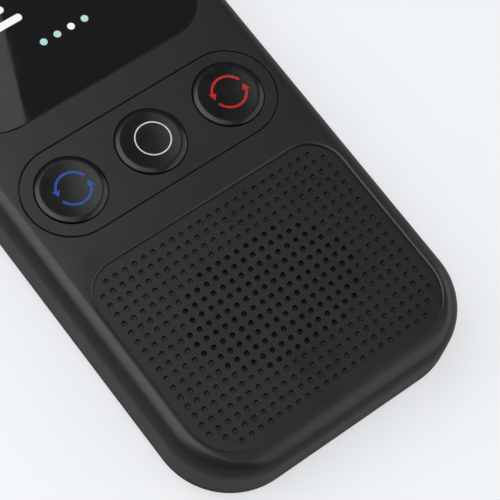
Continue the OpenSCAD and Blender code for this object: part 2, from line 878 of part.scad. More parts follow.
// True where the hole at x, y lies inside the rounded field of the plate.
function in_field(x, y) =
    let (r = y > 0 ? field_top_r : field_end_r)
    norm([max(abs(x) - field_x + r, 0), max(abs(y) - field_y + r, 0)]) <= r;

// True where a hole opens into the sound opening.
function in_sound(x, y) = pow(2 * x / sound_w, 2) + pow(2 * y / sound_l, 2) < 1;

grille_holes = [
    for (i = [-hole_cols : hole_cols], j = [-hole_rows : hole_rows])
        let (at = [i * hole_pitch, j * hole_pitch])
        if (in_field(at.x, at.y)) at
];

module speaker_grille() {
    color(grille_grey) translate([0, speaker_y, plate_z]) difference() {
        linear_extrude(plate_t) difference() {
            round_rect(recess_w - 2 * plate_gap, recess_l - 2 * plate_gap, recess_r - plate_gap);
            for (at = grille_holes) {
                if (in_sound(at.x, at.y)) translate(at) circle(d = hole_d, $fn = 16);
            }
        }
        for (at = grille_holes) {
            if (!in_sound(at.x, at.y)) translate([at.x, at.y, plate_t - dimple_depth])
                cylinder(d = hole_d, h = dimple_depth + cut, $fn = 16);
        }
    }
}

module speaker_mesh() {
    color("#202022") translate([0, speaker_y, 0])
        oval_slab(opening_w - 2 * plate_gap, opening_l - 2 * plate_gap, plate_z - mesh_t, plate_z);
}

module speaker_gasket() {
    color(part_black) translate([0, speaker_y, 0])
        oval_ring(speaker_w, speaker_l, (speaker_w - opening_w) / 2, gasket_z, bed_z);
}

module speaker_frame() {
    vent_w = 3;
    vent_h = basket_h / 2;
    color(metal) translate([0, speaker_y, 0]) difference() {
        union() {
            oval_slab(speaker_w, speaker_l, flange_z, gasket_z);
            oval_slab(cone_w + 2 * flange_t, cone_l + 2 * flange_t, basket_z, flange_z + eps);
        }
        oval_slab(cone_w, cone_l, basket_z + flange_t, gasket_z + cut);
        translate([0, 0, basket_z - cut]) cylinder(r = coil_d / 2 + cone_gap, h = 2 * cut + flange_t);
        for (x = [-1, 1]) {
            translate([x * cone_w / 4, 0, flange_z - vent_h])
                cube([vent_w, speaker_l, vent_h - flange_t], center = true);
        }
    }
}

// Moving cone with its dust cap and coil former.
module speaker_diaphragm() {
    cap_r = coil_d * 1.2;
    cap_z = flange_z + cone_t;
    sink = sqrt(pow(cap_r, 2) - pow(coil_d / 2, 2));
    color(part_black) translate([0, speaker_y, 0]) {
        oval_slab(cone_w - 2 * cone_gap, cone_l - 2 * cone_gap, flange_z, cap_z);
        intersection() {
            translate([0, 0, cap_z - sink]) sphere(cap_r);
            translate([0, 0, cap_z - eps]) cylinder(d = coil_d, h = cap_r);
        }
        translate([0, 0, basket_z + cone_gap]) difference() {
            cylinder(d = coil_d, h = basket_h);
            translate([0, 0, -cut]) cylinder(d = coil_d - 2 * cone_t, h = basket_h - cone_t + cut);
        }
    }
}

module speaker_magnet() {
    color("#8d9094") translate([0, speaker_y, magnet_z]) cylinder(d = magnet_d, h = basket_z - magnet_z);
}

module speaker_bracket() {
    color(metal) translate([0, speaker_y, bracket_z]) difference() {
        linear_extrude(bracket_t) union() {
            circle(d = bracket_pad_d);
            oval(2 * bracket_screw_x + bracket_bar, bracket_bar);
        }
        for (at = bracket_screws_at) {
            translate([at.x, 0, -cut]) cylinder(r = screw_d / 2 + back_gap, h = bracket_t + 2 * cut);
        }
    }
}

// Flat strip that follows points in the side view, each given as its lower edge.
module strip(points, w, t) {
    back = [for (i = [len(points) - 1 : -1 : 0]) points[i] + [0, t]];
    rotate([90, 0, 90]) linear_extrude(w, center = true) polygon(concat(points, back));
}

module speaker_ribbon() {
    y_flange = speaker_y + speaker_l / 2;
    color(gold) strip([
        [y_flange - seat_w, flange_z - ribbon_t],
        [y_flange + speaker_gap + fence_t + 0.3, flange_z - ribbon_t],
        [board_low - 1.5, board_low_z - ribbon_t],
        [board_low + 1, board_low_z - ribbon_t]
    ], speaker_ribbon_w, ribbon_t);
}

// ---- keys ----

module key_bezel() {
    color(case_grey) translate([0, keys_y, bezel_z]) linear_extrude(bezel_t) difference() {
        oval(bezel_w, bezel_h);
        for (x = key_xs) {
            translate([x, 0]) circle(r = key_d / 2 + key_gap);
        }
    }
}

// Cap with a sloping rim and a shallow dish, flange and stem in one turned outline.
module button_body(x) {
    cap_r = key_d / 2;
    top = face_z + key_proud;
    dish_edge = cap_r - key_rim;
    dish_r = (pow(dish_edge, 2) + pow(dish_depth, 2)) / (2 * dish_depth);
    color(key_grey) translate([x, keys_y, 0]) difference() {
        rotate_extrude() polygon([
            [0, stem_z],
            [stem_d / 2, stem_z],
            [stem_d / 2, key_flange_z],
            [key_flange_r, key_flange_z],
            [key_flange_r, key_flange_z + key_flange_t],
            [cap_r, key_flange_z + key_flange_t],
            [cap_r, top - key_rim_h],
            [dish_edge, top],
            [0, top]
        ]);
        translate([0, 0, top - dish_depth + dish_r]) sphere(dish_r, $fn = 180);
    }
}

module left_button() {
    button_body(key_xs[0]);
}

module middle_button() {
    button_body(key_xs[1]);
}

module right_button() {
    button_body(key_xs[2]);
}

module switch_body(x) {
    color(part_black) translate([x, keys_y, board_z]) difference() {
        linear_extrude(switch_h) round_rect(switch_side, switch_side, 0.5);
        translate([0, 0, switch_floor]) cylinder(r = plunger_d / 2 + run_gap, h = switch_h);
    }
}

module left_switch() {
    switch_body(key_xs[0]);
}

module middle_switch() {
    switch_body(key_xs[1]);
}

module right_switch() {
    switch_body(key_xs[2]);
}

module plunger(x) {
    color("#d8d8d4") translate([x, keys_y, plunger_z]) cylinder(d = plunger_d, h = stem_z - plunger_z);
}

module left_plunger() {
    plunger(key_xs[0]);
}

module middle_plunger() {
    plunger(key_xs[1]);
}

module right_plunger() {
    plunger(key_xs[2]);
}

// ---- screen ----

module cover_glass() {
    color(glass_black) translate([0, glass_y, 0]) slab(glass_w, glass_l, glass_r, glass_z, face_z);
}

module screen_adhesive() {
    outer = 2 * adhesive_inset;
    color("#101010") translate([0, glass_y, ledge_z]) linear_extrude(adhesive_t) difference() {
        round_rect(glass_w - outer, glass_l - outer, glass_r - adhesive_inset);
        round_rect(window_w + outer, window_l + outer, tray_r + ledge_gap + adhesive_inset);
    }
}

module display_panel() {
    color("#2a2a30") translate([0, glass_y, 0])
        slab(display_w, display_l, tray_r - tray_t, display_z, glass_z);
}

module display_tray() {
    color(metal) translate([0, glass_y, 0]) difference() {
        slab(tray_w, tray_l, tray_r, tray_z, tray_z + tray_h);
        slab(display_w + 2 * tray_gap, display_l + 2 * tray_gap, tray_r - tray_t + tray_gap,
            display_z, tray_z + tray_h + cut);
        translate([0, -tray_l / 2, display_z + tray_h])
            cube([ribbon_w + 2 * cut, 2 * cut, 2 * tray_h], center = true);
    }
}

// Ribbon that folds under the display into its connector.
module display_ribbon() {
    panel_y = glass_y - display_l / 2;
    bend_y = panel_y - 1;
    low_z = board_z + connector_h - connector_slot;
    high_z = display_z + tray_t;
    bend_r = (high_z - low_z) / 2;
    color(gold) {
        translate([0, (panel_y + bend_y - eps) / 2, high_z])
            cube([ribbon_w, panel_y - bend_y + eps, ribbon_t], center = true);
        translate([0, (connector_y + bend_y - eps) / 2, low_z])
            cube([ribbon_w, connector_y - bend_y + eps, ribbon_t], center = true);
        translate([0, bend_y, low_z + bend_r]) rotate([90, 0, -90])
            linear_extrude(ribbon_w, center = true) difference() {
                circle(r = bend_r + ribbon_t / 2);
                circle(r = bend_r - ribbon_t / 2);
                translate([-2 * bend_r, -2 * bend_r]) square([2 * bend_r, 4 * bend_r]);
            }
    }
}

module display_connector() {
    color("#d9d4c8") translate([0, connector_y + connector_l / 2, board_z + connector_h / 2])
        cube([connector_w, connector_l, connector_h], center = true);
}

// ---- board ----

module main_board() {
    l = board_top - board_low;
    color(board_green) difference() {
        translate([0, board_low + l / 2, 0]) slab(board_w, l, board_r, board_low_z, board_z);
        for (at = board_screws_at) {
            translate([at.x, at.y, board_low_z - cut])
                cylinder(r = screw_d / 2 + back_gap, h = board_t + 2 * cut);
        }
    }
}

// Pressed can, open towards the board.
module shield(x, y, w, l) {
    inner = 2 * shield_t;
    color(metal) translate([x, y, board_low_z - shield_h]) difference() {
        translate([-w / 2, -l / 2, 0]) cube([w, l, shield_h]);
        translate([-w / 2 + shield_t, -l / 2 + shield_t, shield_t])
            cube([w - inner, l - inner, shield_h]);
    }
}

module processor_shield() {
    shield(0, processor_y, processor_side, processor_side);
}

module radio_shield() {
    shield(radio_x, radio_y, radio_w, radio_l);
}

module antenna() {
    color(gold) translate([0, antenna_y, wall + antenna_t / 2])
        cube([antenna_w, antenna_l, antenna_t], center = true);
}

module screw(at, z) {
    translate([at.x, at.y, z]) cylinder(d = screw_d - eps, h = screw_l - eps);
    translate([at.x, at.y, z - screw_head_h]) difference() {
        cylinder(d = screw_head_d, h = screw_head_h);
        translate([0, 0, -cut]) cylinder(d = screw_d * 0.7, h = cut + screw_head_h / 2, $fn = 6);
    }
}

module inner_screws() {
    color(metal) {
        for (at = board_screws_at) {
            screw(at, board_low_z);
        }
        for (at = bracket_screws_at) {
            screw(at, bracket_z);
        }
    }
}

// ---- battery ----

module battery() {
    color("#c4c6c8") translate([0, battery_y, battery_z]) linear_extrude(battery_t)
        round_rect(battery_w, battery_l, battery_r);
}

module battery_pad() {
    color(part_black) translate([0, battery_y, wall + pad_t / 2])
        cube([battery_w - 2 * pad_margin, battery_l - 2 * pad_margin, pad_t], center = true);
}

module battery_ribbon() {
    exit_z = battery_z + battery_t * 0.7;
    plug_z = board_low_z - plug_h * 0.6;
    color(gold) translate([plug_x, 0, 0]) strip([
        [battery_end, exit_z],
        [battery_end + 1.5, exit_z],
        [plug_y - 1.5, plug_z],
        [plug_y, plug_z]
    ], battery_ribbon_w, ribbon_t);
}

module battery_connector() {
    color("#d9d4c8") translate([plug_x, plug_y + plug_l / 2, board_low_z - plug_h / 2])
        cube([plug_w, plug_l, plug_h], center = true);
}

// ---- charging socket ----

module usb_shell() {
    r = usb_h / 2 - eps;
    color(metal) translate([0, usb_mouth_y, usb_z]) rotate([90, 0, 0]) difference() {
        linear_extrude(usb_l) round_rect(usb_w, usb_h, r);
        translate([0, 0, -cut]) linear_extrude(usb_l - usb_wall + cut)
            round_rect(usb_w - 2 * usb_wall, usb_h - 2 * usb_wall, r - usb_wall);
    }
}

// Contact tongue on its base at the back of the shell.
module usb_tongue() {
    side_gap = 1.15;
    tongue_w = usb_w - 2 * side_gap;
    tongue_t = 0.7;
    base_l = 1.6;
    mouth_gap = 1;
    color(part_black) translate([0, usb_mouth_y, usb_z]) rotate([90, 0, 0]) {
        translate([0, 0, mouth_gap]) linear_extrude(usb_l - usb_wall - mouth_gap)
            square([tongue_w, tongue_t], center = true);
        translate([0, 0, usb_l - usb_wall - base_l]) linear_extrude(base_l)
            square([usb_w - usb_h, usb_h - 2 * usb_wall - eps], center = true);
    }
}

// ---- microphones ----

module microphone(side) {
    color(metal) translate([side * mic_x, mic_y, mic_z])
        cube([mic_w, mic_l, mic_h], center = true);
}

module left_microphone() {
    microphone(-1);
}

module right_microphone() {
    microphone(1);
}

// Rubber boot between a microphone and its sound hole.
module mic_boot(side) {
    y_low = mic_y + mic_l / 2;
    l = inner_end_top - y_low;
    color(part_black) translate([side * mic_x, y_low + l / 2, board_low_z - boot_h / 2]) difference() {
        cube([boot_w, l, boot_h], center = true);
        translate([0, 0, boot_h / 2 - mic_h / 2]) rotate([90, 0, 0])
            cylinder(d = mic_hole_d, h = l + 2 * cut, center = true);
    }
}

module left_mic_boot() {
    mic_boot(-1);
}

module right_mic_boot() {
    mic_boot(1);
}

// ---- camera and lamp ----

module camera_module() {
    base_z = board_low_z - camera_base_h;
    color(part_black) translate([camera_at.x, camera_at.y, 0]) difference() {
        union() {
            translate([0, 0, base_z]) linear_extrude(camera_base_h)
                round_rect(camera_side, camera_side, 0.4);
            translate([0, 0, barrel_z]) cylinder(d = barrel_d, h = base_z - barrel_z + eps);
        }
        translate([0, 0, barrel_z - cut]) cylinder(r = lens_d / 2 + eps, h = lens_t + lens_gap + cut);
    }
}

module camera_lens() {
    sag = 0.4;
    r = (pow(lens_d / 2, 2) + pow(sag, 2)) / (2 * sag);
    color("#303a58") translate([camera_at.x, camera_at.y, barrel_z + lens_gap]) intersection() {
        cylinder(d = lens_d, h = lens_t);
        translate([0, 0, r]) sphere(r, $fn = 120);
    }
}

// Ring let into the back, with a lip that holds it against the inside.
module camera_ring() {
    color(metal) translate([camera_at.x, camera_at.y, 0]) difference() {
        union() {
            translate([0, 0, back_inset]) cylinder(d = ring_d, h = wall - back_inset + eps);
            translate([0, 0, wall]) cylinder(d = ring_d + 2 * ring_lip, h = ring_lip_t);
        }
        translate([0, 0, -cut]) cylinder(r = window_d / 2 + back_gap, h = cut + back_inset + window_t);
        cylinder(d = barrel_d, h = wall + ring_lip_t + cut);
    }
}

module camera_window() {
    color("#101216") translate([camera_at.x, camera_at.y, back_inset + back_gap])
        cylinder(d = window_d, h = window_t - back_gap);
}

module lamp_led() {
    color("#e8d870") translate([lamp_at.x, lamp_at.y, board_low_z - led_h / 2])
        cube([led_side, led_side, led_h], center = true);
}

// Clear rod that carries the lamp's light to the back.
module lamp_lens() {
    color([0.9, 0.9, 0.86, 0.6]) translate([lamp_at.x, lamp_at.y, 0]) {
        translate([0, 0, back_inset]) cylinder(d = lamp_d, h = board_low_z - led_h - back_inset);
        translate([0, 0, wall]) cylinder(d = lamp_d + 2 * lamp_flange_w, h = lamp_flange_t);
    }
}

// ---- side keys ----

// Flat oval plate that stands in the right side wall, from x_in to x_out.
module side_plate(l, h, x_in, x_out) {
    translate([x_in, 0, 0]) rotate([90, 0, 90]) linear_extrude(x_out - x_in) oval(l, h);
}

module side_cap(l, back) {
    flange_out = inner_side_x - back;
    flange_in = flange_out - side_flange_t;
    side_plate(l, side_key_h, flange_out - eps, side_x + side_key_proud);
    side_plate(l + 2 * side_flange_w, side_flange_h, flange_in, flange_out);
}

module power_button() {
    color(key_grey) translate([0, power_y, side_key_z]) {
        side_cap(power_l, power_back);
        translate([pusher_x, 0, 0]) rotate([0, 90, 0])
            cylinder(d = pusher_d, h = inner_side_x - power_back - side_flange_t / 2 - pusher_x);
    }
}

module side_plunger() {
    translate([side_switch_x - side_plunger_in, 0, 0]) rotate([0, 90, 0])
        cylinder(r = side_plunger_r, h = pusher_x - side_switch_x + side_plunger_in);
}

module side_switch() {
    difference() {
        translate([side_switch_x - side_switch_w, -side_switch_l / 2, -side_switch_h / 2])
            cube([side_switch_w, side_switch_l, side_switch_h]);
        translate([side_switch_x - side_bore_l, 0, 0]) rotate([0, 90, 0])
            cylinder(r = side_plunger_r + side_plunger_gap, h = side_bore_l + cut);
    }
}

module power_plunger() {
    color("#d8d8d4") translate([0, power_y, side_key_z]) side_plunger();
}

module power_switch() {
    color(part_black) translate([0, power_y, side_key_z]) side_switch();
}

// Rocking key on the left: two pivot stubs carry it between the housing's ears.
module volume_rocker() {
    color(key_grey) translate([0, volume_y, side_key_z]) mirror([1, 0, 0]) {
        side_cap(volume_l, volume_back);
        translate([pivot_x, 0, -rocker_reach]) cylinder(r = pivot_r, h = 2 * rocker_reach);
        for (y = [-volume_switch_y, volume_switch_y]) {
            translate([pusher_x, y, 0]) rotate([0, 90, 0])
                cylinder(d = pusher_d, h = inner_side_x - volume_back - side_flange_t / 2 - pusher_x);
        }
    }
}

module left_side_at(y) {
    translate([0, volume_y + y, side_key_z]) mirror([1, 0, 0]) children();
}

module volume_up_plunger() {
    color("#d8d8d4") left_side_at(volume_switch_y) side_plunger();
}

module volume_down_plunger() {
    color("#d8d8d4") left_side_at(-volume_switch_y) side_plunger();
}

module volume_up_switch() {
    color(part_black) left_side_at(volume_switch_y) side_switch();
}

module volume_down_switch() {
    color(part_black) left_side_at(-volume_switch_y) side_switch();
}

front_housing();
rear_cover();
speaker_grille();
speaker_mesh();
speaker_gasket();
speaker_frame();
speaker_diaphragm();
speaker_magnet();
speaker_bracket();
speaker_ribbon();
key_bezel();
left_button();
middle_button();
right_button();
left_switch();
middle_switch();
right_switch();
left_plunger();
middle_plunger();
right_plunger();
cover_glass();
screen_adhesive();
display_panel();
display_tray();
display_ribbon();
display_connector();
main_board();
processor_shield();
radio_shield();
antenna();
battery();
battery_pad();
battery_ribbon();
battery_connector();
usb_shell();
usb_tongue();
left_microphone();
right_microphone();
left_mic_boot();
right_mic_boot();
camera_module();
camera_lens();
camera_ring();
camera_window();
lamp_led();
lamp_lens();
power_button();
power_plunger();
power_switch();
volume_rocker();
volume_up_plunger();
volume_down_plunger();
volume_up_switch();
volume_down_switch();
inner_screws();
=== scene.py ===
# %% [markdown]
# # A handheld translator, dressed from its construction frame
# The device is a flat bar of dark moulded plastic. Its face carries a glossy screen, a row of
# three round keys set in an oval bezel, and a recessed plate full of small holes over the speaker.
# The construction model gives every piece its real size and its joint. This lesson gives the
# pieces their finish, and swaps the outer ones for smooth surfaces computed with numpy.
# Everything is worked out in millimetres and scaled to metres when a mesh is written.

# %% Load the frame
import json
import math

import bpy
import numpy as np
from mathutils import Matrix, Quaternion, Vector
from mathutils.geometry import delaunay_2d_cdt


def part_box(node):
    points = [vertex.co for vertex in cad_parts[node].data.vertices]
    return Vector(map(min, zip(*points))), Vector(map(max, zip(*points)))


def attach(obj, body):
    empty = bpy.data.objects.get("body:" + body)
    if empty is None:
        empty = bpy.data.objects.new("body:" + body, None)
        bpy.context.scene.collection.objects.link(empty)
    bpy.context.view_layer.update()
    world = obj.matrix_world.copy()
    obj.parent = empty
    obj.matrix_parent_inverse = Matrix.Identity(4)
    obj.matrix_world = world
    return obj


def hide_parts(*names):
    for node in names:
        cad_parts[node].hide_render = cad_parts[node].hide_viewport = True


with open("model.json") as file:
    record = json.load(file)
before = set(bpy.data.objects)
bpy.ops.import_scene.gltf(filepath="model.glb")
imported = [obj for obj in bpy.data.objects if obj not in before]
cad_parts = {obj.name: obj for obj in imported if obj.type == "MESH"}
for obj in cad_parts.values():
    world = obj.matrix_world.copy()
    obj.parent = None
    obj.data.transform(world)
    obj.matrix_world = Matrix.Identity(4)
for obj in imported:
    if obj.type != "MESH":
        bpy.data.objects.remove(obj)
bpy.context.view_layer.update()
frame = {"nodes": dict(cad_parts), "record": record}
nodes = frame["nodes"]
MM = 0.001


def box_mm(node):
    """The lowest and highest corner of a construction node, in millimetres."""
    low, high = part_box(node)
    return np.array(low) / MM, np.array(high) / MM


def centre_of(low, high):
    """The middle of a box in the plan, as (x, y)."""
    return ((low + high) / 2)[:2]


case_low, case_high = box_mm("front_housing")
cover_low, cover_high = box_mm("rear_cover")
body_w, body_l = (cover_high - cover_low)[:2]
face_z = case_high[2]
seam_z = case_low[2]
print("case", round(body_w, 2), "x", round(body_l, 2), "x", round(face_z, 2), "mm")

# %% [markdown]
# ## The camera
# The view looks down on the face from the speaker end, a little from the left, through a long
# lens. Three Euler angles could turn the camera, but they don't say what it looks at. Here it
# has a place, an aim point on the face and one roll angle, so that each number means something.

# %% Place the camera
CAMERA_AT = (-117.4, -127.9, 319.6)
AIM_AT = (1.7, -38.9, 12.5)
ROLL = -17.6
LENS = 158.4
SENSOR_W = 36.0


def aimed(start, target, roll_degrees=0.0):
    """The turn that points -Z from start to target with +Y up, then rolls about that line."""
    line = Vector(target) - Vector(start)
    level = line.to_track_quat("-Z", "Y")
    return Quaternion(line.normalized(), math.radians(roll_degrees)) @ level


def placed(name, data, spot, turn):
    """Puts a camera or a light into the scene, at spot in millimetres."""
    made = bpy.data.objects.new(name, data)
    bpy.context.scene.collection.objects.link(made)
    made.location = Vector(spot) * MM
    made.rotation_mode = "QUATERNION"
    made.rotation_quaternion = turn
    return made


view = bpy.data.cameras.new("view")
view.lens = LENS
view.sensor_width = SENSOR_W
camera = placed("view", view, CAMERA_AT, aimed(CAMERA_AT, AIM_AT, ROLL))
bpy.context.scene.camera = camera
print("camera right", [round(x, 3) for x in camera.rotation_quaternion @ Vector((1, 0, 0))])

# %% [markdown]
# ## Material building blocks
# A node material is a small program. Written out node by node it is long and hard to change, so
# a helper adds a node, sets its inputs and joins its links. Effects that several finishes share
# are node groups: the fine grain of a moulded surface, soft smudges from handling, and specks
# of dust. A group gives out only heights and masks, and the shader stays in each material.

# %% Node helpers


def node(tree, kind, inputs=None, **settings):
    """Adds a node. inputs maps a socket's name or number to a value or to another socket."""
    made = tree.nodes.new(kind)
    for name, value in settings.items():
        setattr(made, name, value)
    for key, value in (inputs or {}).items():
        if isinstance(value, bpy.types.NodeSocket):
            tree.links.new(value, made.inputs[key])
        else:
            made.inputs[key].default_value = value
    return made


def math_node(tree, operation, *values):
    made = node(tree, "ShaderNodeMath", dict(enumerate(values)), operation=operation)
    return made.outputs[0]


def ramp(tree, value, low, high, out_low=0.0, out_high=1.0):
    """Maps low..high to out_low..out_high with a smooth step, clamped at both ends."""
    made = node(
        tree,
        "ShaderNodeMapRange",
        {"Value": value, "From Min": low, "From Max": high, "To Min": out_low, "To Max": out_high},
        interpolation_type="SMOOTHSTEP",
    )
    return made.outputs["Result"]


def fade(tree, value, low, high):
    """1 up to low, 0 from high on, with a smooth step between."""
    return ramp(tree, value, low, high, 1.0, 0.0)


def mixed(tree, factor, first, second):
    """One colour fading to another by a mask. A colour is a socket or three linear values."""
    ends = [(*end, 1.0) if isinstance(end, tuple) else end for end in (first, second)]
    made = node(
        tree, "ShaderNodeMix", {"Factor": factor, "A": ends[0], "B": ends[1]}, data_type="RGBA"
    )
    return made.outputs["Result"]


def object_place(tree):
    return node(tree, "ShaderNodeTexCoord").outputs["Object"]


def noise(tree, place, size_mm, detail=2.0, roughness=0.5):
    """Soft random values from 0 to 1, with features about size_mm across."""
    made = node(
        tree,
        "ShaderNodeTexNoise",
        {"Vector": place, "Scale": 1 / (size_mm * MM), "Detail": detail, "Roughness": roughness},
    )
    return made.outputs[0]


print("helpers:", [made.__name__ for made in (node, math_node, ramp, fade, mixed, noise)])

# %% Groups and materials


def new_group(name, inputs, outputs):
    """A shader node group with float inputs and outputs, and its two end nodes."""
    group = bpy.data.node_groups.new(name, "ShaderNodeTree")
    for label, value in inputs.items():
        socket = group.interface.new_socket(label, in_out="INPUT", socket_type="NodeSocketFloat")
        socket.default_value = value
    for label in outputs:
        group.interface.new_socket(label, in_out="OUTPUT", socket_type="NodeSocketFloat")
    start = group.nodes.new("NodeGroupInput")
    end = group.nodes.new("NodeGroupOutput")
    return group, start.outputs, end.inputs


def place_group(tree, group, **inputs):
    """Places a group and gives its single output."""
    return node(tree, "ShaderNodeGroup", inputs, node_tree=group).outputs[0]


def new_material(name):
    material = bpy.data.materials.new(name)
    material.use_nodes = True
    return material, material.node_tree


def dressed(material, colour, rough, height=None, bump_um=0.0, metallic=0.0):
    """Joins a colour, a roughness and a bump to the material's shader. bump_um is the bump's
    full height in micrometres. A colour of three values is set on the shader itself."""
    tree = material.node_tree
    inputs = tree.nodes["Principled BSDF"].inputs
    if isinstance(colour, tuple):
        inputs["Base Color"].default_value = (*colour, 1.0)
    else:
        tree.links.new(colour, inputs["Base Color"])
    tree.links.new(rough, inputs["Roughness"])
    inputs["Metallic"].default_value = metallic
    if height is not None:
        bump = node(tree, "ShaderNodeBump", {"Height": height, "Distance": bump_um * MM * MM})
        tree.links.new(bump.outputs["Normal"], inputs["Normal"])
    return material


print("a bump of one micrometre is", MM * MM, "m")

# %% The shared effects
FINE_GRAIN, COARSE_GRAIN, COARSE_SHARE = 0.12, 0.4, 0.35
SMUDGE_SIZE, STREAK_SIZE = 9.0, 2.2
DUST_SPACING, DUST_PATCH = 2.4, 6.0
# A speck is full up to the first share of the spacing and gone at the second.
SPECK_SHARES = (0.02, 0.05)


def build_grain():
    """Height of a spark-eroded mould skin: two sizes of noise added, fine over coarse."""
    group, given, result = new_group("mould_grain", {"Coarse": COARSE_SHARE}, ["Height"])
    place = object_place(group)
    fine = noise(group, place, FINE_GRAIN, detail=1.0)
    coarse = noise(group, place, COARSE_GRAIN, detail=1.0)
    height = math_node(group, "MULTIPLY_ADD", coarse, given["Coarse"], fine)
    group.links.new(height, result["Height"])
    return group


def build_handling():
    """Mask of faint smudges: a broad noise lifted where a streaky second noise agrees."""
    group, given, result = new_group("handling", {"Amount": 1.0}, ["Smudge"])
    place = object_place(group)
    broad = ramp(group, noise(group, place, SMUDGE_SIZE, detail=3.0), 0.42, 0.68)
    fine = noise(group, place, STREAK_SIZE, detail=4.0, roughness=0.62)
    mask = math_node(group, "MULTIPLY", broad, ramp(group, fine, 0.35, 0.7))
    group.links.new(math_node(group, "MULTIPLY", mask, given["Amount"]), result["Smudge"])
    return group


def build_dust():
    """Mask of sparse specks: the cores of far-apart cells, thinned by a noise."""
    inputs = {"Amount": 1.0, "Spacing": DUST_SPACING}
    group, given, result = new_group("dust", inputs, ["Speck"])
    place = object_place(group)
    scale = math_node(group, "DIVIDE", 1 / MM, given["Spacing"])
    cells = node(group, "ShaderNodeTexVoronoi", {"Vector": place, "Scale": scale})
    core = fade(group, cells.outputs["Distance"], *SPECK_SHARES)
    thin = ramp(group, noise(group, place, DUST_PATCH), 0.5, 0.62)
    mask = math_node(group, "MULTIPLY", core, thin)
    group.links.new(math_node(group, "MULTIPLY", mask, given["Amount"]), result["Speck"])
    return group


GRAIN = build_grain()
HANDLING = build_handling()
DUST = build_dust()
print("shared effects", [group.name for group in (GRAIN, HANDLING, DUST)])

# %% [markdown]
# ## Moulded plastic
# The case, the cover, the plate and the keys are the same kind of stuff: dark plastic with a
# fine matt skin. An even dark colour would look like paint on a screen, so one function builds
# them all with some life in them. Smudges make the skin a little smoother, dust makes it a
# little paler and rougher, and the grain is a bump of a few micrometres.

# %% Plastic finishes
DUST_COLOUR = (0.16, 0.16, 0.165)
DUST_ROUGH = 0.3
SMUDGE_SHINE = 0.12
SMUDGES, SPECKS = 0.6, 0.5
TONE_PATCH = 14.0
DARKER = 0.9


def plastic(name, colour, rough, grain_um=4.0, coarse=COARSE_SHARE):
    """Dark moulded plastic. colour is linear, grain_um is the grain's height in micrometres."""
    material, tree = new_material(name)
    handled = place_group(tree, HANDLING, Amount=SMUDGES)
    specks = place_group(tree, DUST, Amount=SPECKS)
    tone = ramp(tree, noise(tree, object_place(tree), TONE_PATCH), 0.3, 0.7)
    body = mixed(tree, tone, tuple(DARKER * c for c in colour), colour)
    dusty = mixed(tree, specks, body, DUST_COLOUR)
    smooth = math_node(tree, "MULTIPLY_ADD", handled, -SMUDGE_SHINE, rough)
    rougher = math_node(tree, "MULTIPLY_ADD", specks, DUST_ROUGH, smooth)
    return dressed(material, dusty, rougher, place_group(tree, GRAIN, Coarse=coarse), grain_um)


case_plastic = plastic("case_plastic", (0.0102, 0.0104, 0.0112), 0.35)
cover_plastic = plastic("cover_plastic", (0.013, 0.0132, 0.014), 0.48, grain_um=6.0, coarse=0.6)
plate_plastic = plastic("plate_plastic", (0.0078, 0.008, 0.0087), 0.37)
key_plastic = plastic("key_plastic", (0.0025, 0.0026, 0.0029), 0.275, grain_um=1.5)
print("plastics", [p.name for p in (case_plastic, cover_plastic, plate_plastic, key_plastic)])

# %% [markdown]
# ## The screen
# The screen is black glass, and the picture on it glows from the glass's own material. A
# picture file would do it too, but it blurs close up. Here each bar and dot is a distance
# worked out from Object coordinates, so it stays sharp at any size. Plain bars stand for lines
# of text, on two cards, and four dots under them say which page is shown.

# %% A bar with round ends


def split_mm(tree):
    """The Object coordinates in millimetres, as three separate values."""
    scaled = node(
        tree, "ShaderNodeVectorMath", {0: object_place(tree), "Scale": 1 / MM}, operation="SCALE"
    )
    made = node(tree, "ShaderNodeSeparateXYZ", {0: scaled.outputs[0]})
    return made.outputs["X"], made.outputs["Y"], made.outputs["Z"]


BAR_PLACE = ("Middle X", "Middle Y", "Half W", "Half H", "Radius")
BAR_SOFTNESS = 0.05


def build_bar():
    """Mask of a bar with round ends. The distance to a shrunken box, less the end's radius, is
    below zero inside the bar. A bar as wide as it is high is a dot."""
    labels = dict.fromkeys(("X", "Y") + BAR_PLACE, 0.0)
    group, given, result = new_group("rounded_bar", labels, ["Mask"])
    sides = []
    for axis, half in (("X", "Half W"), ("Y", "Half H")):
        away = math_node(group, "SUBTRACT", given[axis], given["Middle " + axis])
        core = math_node(group, "SUBTRACT", given[half], given["Radius"])
        past = math_node(group, "SUBTRACT", math_node(group, "ABSOLUTE", away), core)
        sides.append(math_node(group, "MAXIMUM", past, 0.0))
    square = math_node(group, "MULTIPLY", sides[0], sides[0])
    both = math_node(group, "MULTIPLY_ADD", sides[1], sides[1], square)
    gap = math_node(group, "SUBTRACT", math_node(group, "SQRT", both), given["Radius"])
    group.links.new(fade(group, gap, -BAR_SOFTNESS, BAR_SOFTNESS), result["Mask"])
    return group


BAR = build_bar()
print("a bar takes", [item.name for item in BAR.interface.items_tree if item.in_out == "INPUT"])

# %% What the screen shows
WHITE_GLOW = (0.92, 0.92, 0.92)
TEAL_GLOW = (0.445, 0.716, 0.672)
CARD_GLOW = (0.006, 0.02, 0.026)
LINE_GLOW = (0.30, 0.34, 0.36)
BLUE_GLOW = (0.03, 0.14, 0.55)
LIT_BLACK = (0.0008, 0.0004, 0.0014)
UNLIT = (0.0, 0.0, 0.0)
ACTIVE_AREA = (0.0, 28.5, 18.36, 24.5, 0.6)
CARD = (16.4, 6.6, 1.6)
